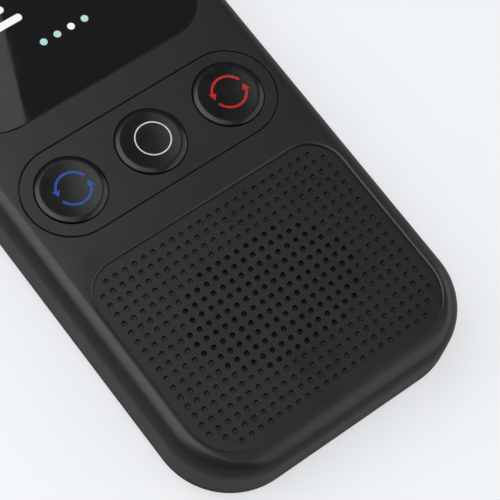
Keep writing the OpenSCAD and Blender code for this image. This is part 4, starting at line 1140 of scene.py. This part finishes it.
def speaker_bed():
    """The floor of the recess, with the opening that lets the sound out. It ends on the
    ceiling, wherever the ceiling has sunk to."""
    bed_z = recess_floor - BED_T
    pocket = wall(recess_shape, recess_floor)[0]
    mesh_r = (mesh_high - mesh_low)[1] / 2
    sound_shape = grown(mesh_low, mesh_high, PLATE_GAP, mesh_r + PLATE_GAP)
    sound = wall(sound_shape, recess_floor, bed_z)
    low = wall(grown(plate_low, plate_high, PLATE_GAP + BED_RIM, RECESS_R + BED_RIM), bed_z)[0]
    high = np.column_stack([low[:, :2], inner_height(low[:, 0], low[:, 1])])
    for rows in (np.stack([brim[-1], pocket]), sound, np.stack([low, high])):
        housing.rings(rows)
    housing.flat(pocket, [sound[0]])
    housing.flat(low, [sound[-1]], up=False)
    return high


def hollow():
    """The ceiling round the pads, the inner walls and the rim that meets the rear cover."""
    inner_shape = outline(inner_w, inner_l, INNER_R, arc_steps=FINE_STEPS, side_step=2.0)
    inset = quarter_round(INNER_ROUND, 5)[::-1, 0]
    arch = rings(inner_shape, np.column_stack([-inset, np.zeros(len(inset))]))
    arch[..., 2] = inner_height(arch[..., 0], arch[..., 1])
    seam = wall(inner_shape, seam_z)[0]
    housing.flat(arch[0], pads, inner_height, up=False)
    housing.rings(arch)
    housing.rings(np.stack([arch[-1], seam]))
    housing.flat(foot[0], [seam], up=False)


pads.append(speaker_bed())
hollow()
print("the whole skin has", housing.count, "points")

# %% [markdown]
# ## Holes in the walls
# The two side keys, the socket and the microphones need holes through walls that are already
# curved. They could be built into the outline, but each hole would then change every ring. A
# plug with a flared mouth is made for each and taken out with an exact Boolean, which leaves
# the soft edge of a moulded hole.

# %% Plugs
CUT_EDGE = 0.12
PAST_WALL = 1.0
RIGHT = np.array([[0, 0, 1], [1, 0, 0], [0, 1, 0]])
LEFT = np.array([[0, 0, -1], [-1, 0, 0], [0, 1, 0]])
TOP_END = np.array([[-1, 0, 0], [0, 0, 1], [0, 1, 0]])


def plug(shape, turn, outer):
    """A closed plug through a wall that widens at the wall's outer face, for a soft edge."""
    rows = [(0.0, outer - 2 * WALL), (0.0, outer - CUT_EDGE)]
    rows += [(CUT_EDGE, outer), (CUT_EDGE, outer + PAST_WALL)]
    return slab(rings(shape, rows)).stand(turn)


def cut_with(made, skins):
    """Takes plugs out of a piece with an exact Boolean, then deletes the plugs."""
    for skin in skins:
        mesh = mesh_from("plug", *skin.weld())
        tool = bpy.data.objects.new("plug", mesh)
        bpy.context.scene.collection.objects.link(tool)
        modifier = made.modifiers.new("hole", "BOOLEAN")
        modifier.operation, modifier.solver, modifier.object = "DIFFERENCE", "EXACT", tool
        with bpy.context.temp_override(object=made, active_object=made):
            bpy.ops.object.modifier_apply(modifier=modifier.name)
        bpy.data.objects.remove(tool)
        bpy.data.meshes.remove(mesh)
    made.data.set_sharp_from_angle(angle=math.radians(CREASE))
    print(made.name, "after cutting:", len(made.data.polygons), "faces,", open_edges(made.data))


# %% Cut the walls
SIDE_CAP_H = 3.2
SIDE_FLANGE_W = 0.4
SIDE_GAP = 0.1
SOCKET_GAP = 0.12
MIC_HOLE_R = 0.5
power_low, power_high = box_mm("power_button")
rocker_low, rocker_high = box_mm("volume_rocker")
socket_low, socket_high = box_mm("usb_shell")


def side_outline(low, high, turn, gap=0.0, **steps):
    """The oval of a side key's cap, in (along, up): its box less the hidden flange."""
    middle = (low + high) / 2
    length = (high - low)[1] - 2 * SIDE_FLANGE_W + 2 * gap
    height = SIDE_CAP_H + 2 * gap
    return outline(length, height, height / 2, (middle @ turn)[:2], **steps)


def wall_plugs():
    """The slots for the two side keys, the socket's mouth and the two microphone holes."""
    yield plug(side_outline(power_low, power_high, RIGHT, SIDE_GAP), RIGHT, body_w / 2)
    yield plug(side_outline(rocker_low, rocker_high, LEFT, SIDE_GAP), LEFT, body_w / 2)
    size = (socket_high - socket_low)[[0, 2]] + 2 * SOCKET_GAP
    mouth = outline(*size, size[1] / 2, (0.0, (socket_high + socket_low)[2] / 2))
    yield plug(mouth, TOP_END, body_l / 2)
    for side in ("left", "right"):
        low, high = box_mm(side + "_microphone")
        spot = ((low + high) / 2 @ TOP_END)[:2]
        yield plug(circle(spot, MIC_HOLE_R, steps=5), TOP_END, body_l / 2)


cut_with(piece("housing_shell", housing, "case", "front_housing"), wall_plugs())

# %% [markdown]
# ## The rear cover
# The back is a shallow tray. A 3 mm round runs along its lower edge, and a thin lip stands up
# inside the housing's wall. A box with a bevel and a second box for the lip would need a
# Boolean to join them. One profile carried round the body's outline gives both: up the round,
# across the rim, up and over the lip, and down to the floor. The lip is notched where the side
# keys and the socket reach down past it.

# %% Build the cover
BACK_R = 3.0
COVER_T = 1.2
LIP_INSET = 1.25
LIP_T = 0.9
SEAM_GAP = 0.08
BACK_GAP = 0.05
BACK_EDGE = 0.15
RING_R = 5.1
LAMP_R = 1.7
rim_z = seam_z - SEAM_GAP
lip_top = cover_high[2]


def cover_skin():
    turn = np.linspace(0, math.pi / 2, 9)
    rounding = np.column_stack([BACK_R * np.sin(turn) - BACK_R, BACK_R * (1 - np.cos(turn))])
    rim = [
        (0.0, rim_z - SEAM_EDGE),
        (-SEAM_EDGE, rim_z),
        (-LIP_INSET, rim_z),
        (-LIP_INSET, lip_top),
        (-LIP_INSET - LIP_T, lip_top),
        (-LIP_INSET - LIP_T, COVER_T),
    ]
    bore = [(0.0, COVER_T), (0.0, BACK_EDGE), (BACK_EDGE, 0.0)]
    camera_hole = rings(circle(CAMERA_SPOT, RING_R + BACK_GAP, steps=16), bore)
    lamp_hole = rings(circle(LAMP_SPOT, LAMP_R + BACK_GAP, steps=8), bore)
    return slab(rings(body_shape, np.concatenate([rounding, rim])), [camera_hole, lamp_hole])


cover = piece("cover_shell", cover_skin(), "cover", "rear_cover")

# %% Notch the cover's lip
# How far a notch reaches past its part, in x, y and z.
NOTCH = np.array([1.0, 1.0, 0.3])
NOTCH_FLOOR = seam_z - 0.05
NOTCH_R = 0.2


def block(low, high):
    """A plug between two corners, no lower than the notches may reach."""
    low = np.append(low[:2], max(low[2], NOTCH_FLOOR))
    size, middle = high - low, (low + high) / 2
    shape = outline(size[0], size[1], NOTCH_R, middle[:2], arc_steps=1, side_step=body_l)
    return slab(wall(shape, low[2], high[2]))


inside_x, inside_y = body_w / 2 - WALL, body_l / 2 - WALL
power_end = np.array([inside_x, power_high[1] + NOTCH[1], power_high[2]])
rocker_end = np.array([-inside_x, *(rocker_low - NOTCH)[1:]])
socket_end = np.array([socket_high[0] + NOTCH[0], inside_y, socket_high[2]])
notches = [
    block(power_low - NOTCH, power_end),
    block(rocker_end, rocker_high + NOTCH),
    block(socket_low - NOTCH, socket_end),
]
cut_with(cover, notches)

# %% [markdown]
# ## The cover glass
# The screen lies under one slab of black glass with a polished, slightly rounded edge. Two
# pieces, a clear glass over a lit picture, would be truer inside, but black glass hides all
# that. What the screen shows is drawn in its material, so the slab is a plain closed plate.

# %% Build the glass
GLASS_EDGE = 0.15
GLASS_FOOT = 0.05


def glass_skin():
    """A small bevel below and a rounded edge on top. One more ring inside the round keeps its
    shading off the flat, which would bend reflections."""
    bottom, top = glass_low[2], glass_high[2]
    profile = [(-GLASS_FOOT, bottom), (0.0, bottom + GLASS_FOOT)]
    profile += [(-run, top - GLASS_EDGE + rise) for run, rise in quarter_round(GLASS_EDGE, 3)]
    profile.append((-GLASS_EDGE - LIP_FLAT, top))
    return slab(rings(grown(glass_low, glass_high, 0.0, GLASS_R), profile))


piece("screen_glass", glass_skin(), "glass", "cover_glass")

# %% [markdown]
# ## The key bezel
# The bezel is an oval insert, flush with the face, with a hole for each key. A groove drawn in
# the face would look much the same, but the real insert is a piece of its own. Its edges are
# broken by a hair's breadth, and with the gap they draw the thin dark line round it.

# %% Build the bezel
BEZEL_EDGE = 0.03
KEY_HOLE_R = 5.9
KEY_STEPS = 20


def bezel_skin():
    radius = bezel_r - BEZEL_SEAM
    shape = grown(bezel_low, bezel_high, -BEZEL_SEAM, radius, arc_steps=FINE_STEPS)
    bottom, edge_z = bezel_low[2], face_z - BEZEL_EDGE
    outer = rings(shape, [(0.0, bottom), (0.0, edge_z), (-BEZEL_EDGE, face_z)])
    bore = [(BEZEL_EDGE, face_z), (0.0, edge_z), (0.0, bottom)]
    return slab(outer, [rings(circle(spot, KEY_HOLE_R, KEY_STEPS), bore) for spot in key_spots])


piece("bezel_plate", bezel_skin(), "case", "key_bezel")

# %% [markdown]
# ## The speaker plate
# The plate has more than 450 holes on a square grid. Those over the speaker go right through,
# and the others are blind and only keep the pattern going. A picture of holes would fall flat
# in a low light, and a Boolean for each hole would take minutes. Instead the top is one flat
# area with all the holes left open in it, and the walls of all the holes are one array: the
# same small stack of rings, added to every hole's centre at once.

# %% Where the holes are
HOLE_PITCH = 1.8
FIELD_MARGIN = 1.8
FIELD_TOP_R = 3.4
FIELD_END_R = 4.2
SOUND_REACH = 0.16


def hole_centres():
    """(centres of all holes, which of them are open), measured from the plate's middle."""
    field = (plate_high - plate_low)[:2] / 2 + PLATE_GAP - FIELD_MARGIN
    count = np.floor(field / HOLE_PITCH).astype(int)
    across, along = np.meshgrid(
        np.arange(-count[0], count[0] + 1), np.arange(-count[1], count[1] + 1), indexing="ij"
    )
    at = np.column_stack([across.ravel(), along.ravel()]) * HOLE_PITCH
    radius = np.where(at[:, 1] > 0, FIELD_TOP_R, FIELD_END_R)[:, None]
    corner = np.linalg.norm(np.maximum(np.abs(at) - field + radius, 0), axis=1)
    at = at[corner <= radius[:, 0]]
    sound = (mesh_high - mesh_low)[:2] / 2 + SOUND_REACH
    return at, ((at / sound) ** 2).sum(axis=1) < 1


holes_at, hole_open = hole_centres()
print(len(holes_at), "holes,", int(hole_open.sum()), "of them open")

# %% Build the plate
PLATE_SEAM = 0.01
HOLE_R = 0.47
HOLE_STEPS = 3
HOLE_EDGE_R = 0.045
DIMPLE_DEPTH = 0.6
# The bowl of a blind hole: (offset from the hole's wall, share of the depth) down to its middle.
BOWL = [(-0.03, 0.85), (-0.12, 0.97), (-HOLE_R, 1.0)]


def hole_rings(centres, profile):
    """The same rings at every centre: an array of (centre, row, column, xyz)."""
    base = rings(circle((0.0, 0.0), HOLE_R, HOLE_STEPS), profile)
    spots = centres + centre_of(plate_low, plate_high)
    return np.column_stack([spots, np.zeros(len(spots))])[:, None, None, :] + base


def plate_with_holes():
    top, bottom = plate_high[2], plate_low[2]
    shape = grown(plate_low, plate_high, PLATE_GAP - PLATE_SEAM, RECESS_R - PLATE_SEAM)
    rim = [(HOLE_EDGE_R, top), (0.0, top - HOLE_EDGE_R)]
    bowl = [(offset, top - DIMPLE_DEPTH * share) for offset, share in BOWL]
    through = hole_rings(holes_at[hole_open], rim + [(0.0, bottom)])
    blind = hole_rings(holes_at[~hole_open], rim + bowl)
    return slab(wall(shape, bottom, top), through, blind)


piece("grille_plate", plate_with_holes(), "grille", "speaker_grille")

# %% [markdown]
# ## The three round keys
# Each key is turned: a cap with a sloping rim and a shallow round dish, a flange that holds it
# under the bezel, and a stem. A cylinder with bevels would give one round edge, and here there
# are several, each its own. So a profile of radius and height, carried round a circle, gives it
# all. The rim's two edges are softened, because they catch the light as thin bright crescents.

# %% Build the keys
CAP_R = 5.76
CAP_RIM = 0.76
CAP_TAPER = 0.03
DISH_DEPTH = 0.3
RIM_R = 5.63
RIM_H = 0.24
RIM_EDGE = (0.08, 0.05)
SHOULDER_H = 0.1
EDGE_R = 0.09
EDGE_FALL = (0.35, 0.15)
DISH_ROWS = 14
FLANGE_R = 6.45
FLANGE_T = 0.5
FLANGE_DEPTH = 1.55
STEM_R = 1.5
PUSH_R = 1.0
FOOT_AIR = 0.05
key_low, key_high = box_mm("middle_button")
foot_z, top_z = key_low[2], key_high[2]
rim_foot_z = top_z - RIM_H
flange_z = face_z - FLANGE_DEPTH
dish_edge = CAP_R - CAP_RIM
dish_r = (dish_edge**2 + DISH_DEPTH**2) / (2 * DISH_DEPTH)


def dish_height(radius):
    """The dish is part of a large sphere that sinks DISH_DEPTH at the middle."""
    return top_z - DISH_DEPTH + dish_r - np.sqrt(dish_r**2 - radius**2)


def key_profile():
    """From the stem's foot out and up, over the rim and into the dish. The foot steps up a
    little outside the plunger, so that a pressed key clears its switch."""
    dish = np.linspace(dish_edge - EDGE_R, 0, DISH_ROWS)
    return [
        (0.0, foot_z),
        (PUSH_R, foot_z),
        (PUSH_R, foot_z + FOOT_AIR),
        (STEM_R, foot_z + FOOT_AIR),
        (STEM_R, flange_z),
        (FLANGE_R, flange_z),
        (FLANGE_R, flange_z + FLANGE_T),
        (CAP_R, flange_z + FLANGE_T),
        (CAP_R, face_z - SHOULDER_H),
        (CAP_R - CAP_TAPER, rim_foot_z - SHOULDER_H),
        (RIM_R, rim_foot_z),
        (RIM_R - RIM_EDGE[0], rim_foot_z + RIM_EDGE[1]),
        (dish_edge + EDGE_R, top_z - EDGE_R * EDGE_FALL[0]),
        (dish_edge + EDGE_R / 3, top_z - EDGE_R * EDGE_FALL[1]),
        (dish_edge - EDGE_R / 3, top_z - EDGE_R * EDGE_FALL[1]),
        *zip(dish, dish_height(dish)),
    ]


for side, spot in zip(SIDES, key_spots):
    skin = Skin(turned(spot, key_profile(), KEY_STEPS))
    piece(side + "_key_cap", skin, "key", side + "_button", side + "_button_body")

# %% [markdown]
# ## The printed marks
# Two keys carry a pair of arrows that chase each other round a circle, one pair blue and one
# red, and the middle key carries a thin white ring. They could be masks in the key's material,
# but pad printing leaves a film of its own, a few hundredths of a millimetre thick. So each
# mark is a thin closed piece that follows the dish.

# %% Outlines of the marks
MARK_T = 0.02
ARROW_R = 2.8
ARROW_LINE = 0.42
HEAD_W = 1.32
HEAD_BACK = 1.5
ARC_START, ARC_END, ARROW_TIP = 18.0, 158.0, 181.0
ARC_POINTS = 20
RING_OUTER_R = 3.0
RING_LINE = 0.21


def polar(radius, degrees):
    angle = np.radians(degrees)
    return np.column_stack([radius * np.cos(angle), radius * np.sin(angle)])


def arrow_outline(turn):
    """One arrow: out along an arc's outer side, round the head, back along its inner side."""
    arc = np.linspace(ARC_START, ARC_END, ARC_POINTS) + turn
    outer = polar(ARROW_R + ARROW_LINE / 2, arc)
    inner = polar(ARROW_R - ARROW_LINE / 2, arc[::-1])
    reach = np.array([ARROW_R + HEAD_W / 2, ARROW_R, ARROW_R - HEAD_W / 2])
    back = ARC_END - HEAD_BACK
    head = polar(reach, np.array([back, ARROW_TIP, back]) + turn)
    return np.concatenate([outer, head, inner])


RING = [circle((0, 0), r, steps=16)[0] for r in (RING_OUTER_R, RING_OUTER_R - RING_LINE)]
ARROWS = [[arrow_outline(turn)] for turn in (0.0, 180.0)]
print("an arrow has", len(ARROWS[0][0]), "points, the ring", len(RING[0]) + len(RING[1]))

# %% Print the marks
# Each mark: the films it is made of, its ink, and how far printing it missed the key's middle.
MARKS = {
    "left": (ARROWS, blue_ink, (0.38, -0.1)),
    "middle": ([RING], white_ink, (0.5, 0.12)),
    "right": (ARROWS, red_ink, (0.3, 0.18)),
}


def print_film(skin, loops, spot):
    """A thin closed film on a key's dish, filling the first loop less the other loops."""
    flat, tris = fill(loops[0], loops[1:])
    level = dish_height(np.linalg.norm(flat, axis=1))
    for lift, faces in ((MARK_T, tris), (-MARK_T, tris[:, ::-1])):
        skin.patch(np.column_stack([flat + spot, level + lift]), faces)
    for number, loop in enumerate(loops):
        foot = dish_height(np.linalg.norm(loop, axis=1))
        edge = [np.column_stack([loop + spot, foot + lift]) for lift in (-MARK_T, MARK_T)]
        skin.rings(np.stack(edge if number == 0 else edge[::-1]))


for side, spot in zip(SIDES, key_spots):
    films, ink_used, shift = MARKS[side]
    skin = Skin()
    for loops in films:
        print_film(skin, [loop + shift for loop in loops], spot)
    piece(side + "_key_mark", skin, "key", body=side + "_button_body", material=ink_used)

# %% [markdown]
# ## The side keys
# The power key and the volume rocker are ovals that stand a little proud of the side walls. A
# scaled sphere would crown them too much, and a bevelled box too little. A rounded profile that
# closes on the oval's own middle line gives a softly crowned cap. Behind it are the flange that
# keeps the key in and the pushers that reach the switches.

# %% Build the side keys
SIDE_PROUD = 0.35
SIDE_EDGE = 0.45
SIDE_ROUND_H = 0.25
CROWN_H = 0.05
SIDE_FLANGE_T = 0.7
PUSHER_R = 0.9
PUSHER_REACH = 1.4
PUSHER_FOOT = 0.3
PIVOT_R = 0.6
POWER_BACK = 0.1
ROCKER_BACK = 0.398
ROCKER_PUSH = 6.5
inner_side = body_w / 2 - WALL


def rod(spot, radius, low, high):
    """A round rod from low to high."""
    return turned(spot, [(0.0, low), (radius, low), (radius, high), (0.0, high)], steps=4)


def side_key_skin(low, high, turn, back, pushers):
    """A crowned cap, its flange and its pushers. back is the flange's gap to the wall."""
    shape = side_outline(low, high, turn, arc_steps=12, side_step=1.0)
    half_h = SIDE_CAP_H / 2
    crown_z = body_w / 2 + SIDE_PROUD - CROWN_H
    flange_out = inner_side - back
    bend = np.linspace(0, math.pi / 2, 6)
    edge = SIDE_EDGE * (np.cos(bend) - 1), crown_z - SIDE_ROUND_H * (1 - np.sin(bend))
    inset = np.linspace(SIDE_EDGE, half_h, 6)[1:]
    crown = -inset, crown_z + CROWN_H * (inset - SIDE_EDGE) / (half_h - SIDE_EDGE)
    profile = [
        (-half_h, flange_out - SIDE_FLANGE_T),
        (SIDE_FLANGE_W, flange_out - SIDE_FLANGE_T),
        (SIDE_FLANGE_W, flange_out),
        (0.0, flange_out),
        *zip(*edge),
        *zip(*crown),
    ]
    skin = Skin(rings(shape, profile))
    middle = ((low + high) / 2 @ turn)[:2]
    for shift in pushers:
        spot = middle + [shift, 0.0]
        skin.rings(rod(spot, PUSHER_R, inner_side - PUSHER_REACH, flange_out - PUSHER_FOOT))
    return skin.stand(turn)


power_skin = side_key_skin(power_low, power_high, RIGHT, POWER_BACK, [0.0])
piece("power_key", power_skin, "key", "power_button", "power_button_body")
rocker_skin = side_key_skin(
    rocker_low, rocker_high, LEFT, ROCKER_BACK, [-ROCKER_PUSH, ROCKER_PUSH]
)
pivot = (WALL - inner_side, ((rocker_low + rocker_high) / 2)[1])
rocker_skin.rings(rod(pivot, PIVOT_R, rocker_low[2], rocker_high[2]))
piece("volume_key", rocker_skin, "key", "volume_rocker", "volume_rocker_body")

# %% [markdown]
# ## The camera and the lamp in the back
# A turned metal ring frames a small dark window, and a clear moulded lens covers the lamp. All
# three are round. A cylinder cut with other cylinders would do, but each is simpler as one
# profile carried round its own axis, as the keys are. They sit at least a tenth of a
# millimetre inside the back, so the device still rests on its flat back.

# %% Build the ring, the window and the lamp's lens
RING_EDGE = 0.12
PANE_SEAT_R = 4.05
PANE_SEAT = 0.7
BARREL_R = 3.25
PANE_R = 4.0
PANE_EDGE = 0.1
LAMP_EDGE = 0.1
LAMP_FLANGE_R = 2.5
LAMP_FLANGE_T = 0.6
LAMP_DISH = [(0.0, 0.08), (0.8, 0.05), (1.3, 0.0)]
pane_low, pane_high = box_mm("camera_window")


def ring_profile():
    """From the bore's lower edge out and up over the flange and back down the bore."""
    foot, top = ring_low[2], ring_high[2]
    lip_r = (ring_high - ring_low)[0] / 2
    return [
        (BARREL_R, foot + PANE_SEAT),
        (PANE_SEAT_R, foot + PANE_SEAT),
        (PANE_SEAT_R, foot + RING_EDGE),
        (PANE_SEAT_R + RING_EDGE, foot),
        (RING_R - RING_EDGE, foot),
        (RING_R - RING_EDGE / 3, foot + RING_EDGE / 3),
        (RING_R, foot + RING_EDGE),
        (RING_R, COVER_T),
        (lip_r, COVER_T),
        (lip_r, top),
        (BARREL_R, top),
        (BARREL_R, foot + PANE_SEAT),
    ]


def window_profile():
    """A flat disc with its lower edge broken."""
    foot, top = pane_low[2], pane_high[2]
    return [
        (0.0, foot),
        (PANE_R - PANE_EDGE, foot),
        (PANE_R, foot + PANE_EDGE),
        (PANE_R, top),
        (0.0, top),
    ]


def lamp_profile():
    """A shallow dish below, a flange that sits on the cover's floor and a plain top."""
    foot, top = lamp_low[2], lamp_high[2]
    return [
        *[(radius, foot + depth) for radius, depth in LAMP_DISH],
        (LAMP_R - LAMP_EDGE, foot),
        (LAMP_R, foot + LAMP_EDGE),
        (LAMP_R, COVER_T),
        (LAMP_FLANGE_R, COVER_T),
        (LAMP_FLANGE_R, COVER_T + LAMP_FLANGE_T),
        (LAMP_R, COVER_T + LAMP_FLANGE_T),
        (LAMP_R, top),
        (0.0, top),
    ]


ring_skin = Skin(turned(CAMERA_SPOT, ring_profile(), steps=20))
piece("camera_trim", ring_skin, "metal", "camera_ring", material=ring_metal)
window_skin = Skin(turned(CAMERA_SPOT, window_profile(), steps=20))
piece("camera_glass", window_skin, "lens", "camera_window", material=camera_glass)
lamp_skin = Skin(turned(LAMP_SPOT, lamp_profile(), steps=12))
piece("lamp_window", lamp_skin, "clear", "lamp_lens")

# %% [markdown]
# ## Floor, lights and world
# The background is white paper. Strong lamps could make it white, but they would bleach the
# object too. So it is white by what it shows to the camera: a strength of 1 is white in the
# picture, and the floor's own colour still takes the shadow. Reflections see only a little of
# that glow, because more of it turns the black plastic and glass grey.
#
# Two lights make one big softbox up on the left, with a brighter core, and the glass shows
# its edge as a slanting line. A third light fills from the low right.

# %% Floor
FLOOR_REACH = 1600
FLOOR_DROP = 0.1
PAPER = (0.33, 0.336, 0.345)
PAPER_ROUGH = 0.9
PAPER_GLOW = (0.96, 0.98, 1.0, 1)
CAMERA_GLOW = 0.6
MIRROR_GLOW = 0.03


def shown_glow(tree, to_camera, to_all=0.0):
    """Strength by who looks: the camera, mirrors and clear parts, and everything."""
    path = node(tree, "ShaderNodeLightPath").outputs
    mirrored = math_node(tree, "MAXIMUM", path["Is Glossy Ray"], path["Is Transmission Ray"])
    seen = math_node(tree, "MULTIPLY_ADD", path["Is Camera Ray"], to_camera, to_all)
    return math_node(tree, "MULTIPLY_ADD", mirrored, MIRROR_GLOW, seen)


def floor_paper():
    material, tree = new_material("floor_paper")
    shader = tree.nodes["Principled BSDF"]
    shader.inputs["Base Color"].default_value = (*PAPER, 1)
    shader.inputs["Roughness"].default_value = PAPER_ROUGH
    strength = shown_glow(tree, CAMERA_GLOW)
    glow = node(tree, "ShaderNodeEmission", {"Color": PAPER_GLOW, "Strength": strength})
    both = node(tree, "ShaderNodeAddShader", {0: shader.outputs[0], 1: glow.outputs[0]})
    tree.links.new(both.outputs[0], tree.nodes["Material Output"].inputs["Surface"])
    return material


square = np.array([[-1, -1, 0], [1, -1, 0], [1, 1, 0], [-1, 1, 0]]) * FLOOR_REACH
mesh = mesh_from("floor", square, np.array([[0, 1, 2, 3]]), np.zeros((0, 3), int))
mesh.materials.append(floor_paper())
floor = placed("floor", mesh, (0, 0, -FLOOR_DROP), Quaternion())
print("floor", 2 * FLOOR_REACH, "mm wide")

# %% Lights
LIGHTS = {
    # name: (place, size, radiance, turn), in millimetres
    "overhead": ((-572, 297, 486), (900, 1400), 1.2, Quaternion((0, 0, 1), math.radians(67))),
    "core": ((-658, 333, 500), (850, 1250), 0.95, Quaternion((0, 0, 1), math.radians(56))),
    "fill": ((557, -417, 200), (1190, 1400), 1.1, aimed((557, -417, 200), (0, -30, 10))),
}


def add_panel(name, spot, size, radiance, turn):
    """A flat soft light. Its power is radiance times pi times its area."""
    data = bpy.data.lights.new(name, "AREA")
    data.shape = "RECTANGLE"
    data.size, data.size_y = size[0] * MM, size[1] * MM
    data.energy = radiance * math.pi * data.size * data.size_y
    placed(name, data, spot, turn)
    print(name, "light of", round(data.energy, 2), "W")


for name, values in LIGHTS.items():
    add_panel(name, *values)

# %% World
SKY_LIGHT = 0.12
SKY_GLOW = 0.76
SKY_COLOUR = (0.95, 0.975, 1.0, 1)
world = bpy.data.worlds.new("studio")
bpy.context.scene.world = world
world.use_nodes = True
sky = world.node_tree
backdrop = sky.nodes["Background"]
backdrop.inputs["Color"].default_value = SKY_COLOUR
sky.links.new(shown_glow(sky, SKY_GLOW, SKY_LIGHT), backdrop.inputs["Strength"])
bpy.context.scene.view_settings.view_transform = "Standard"
print("the sky lights at", SKY_LIGHT, "and shows at", round(SKY_LIGHT + SKY_GLOW, 2))
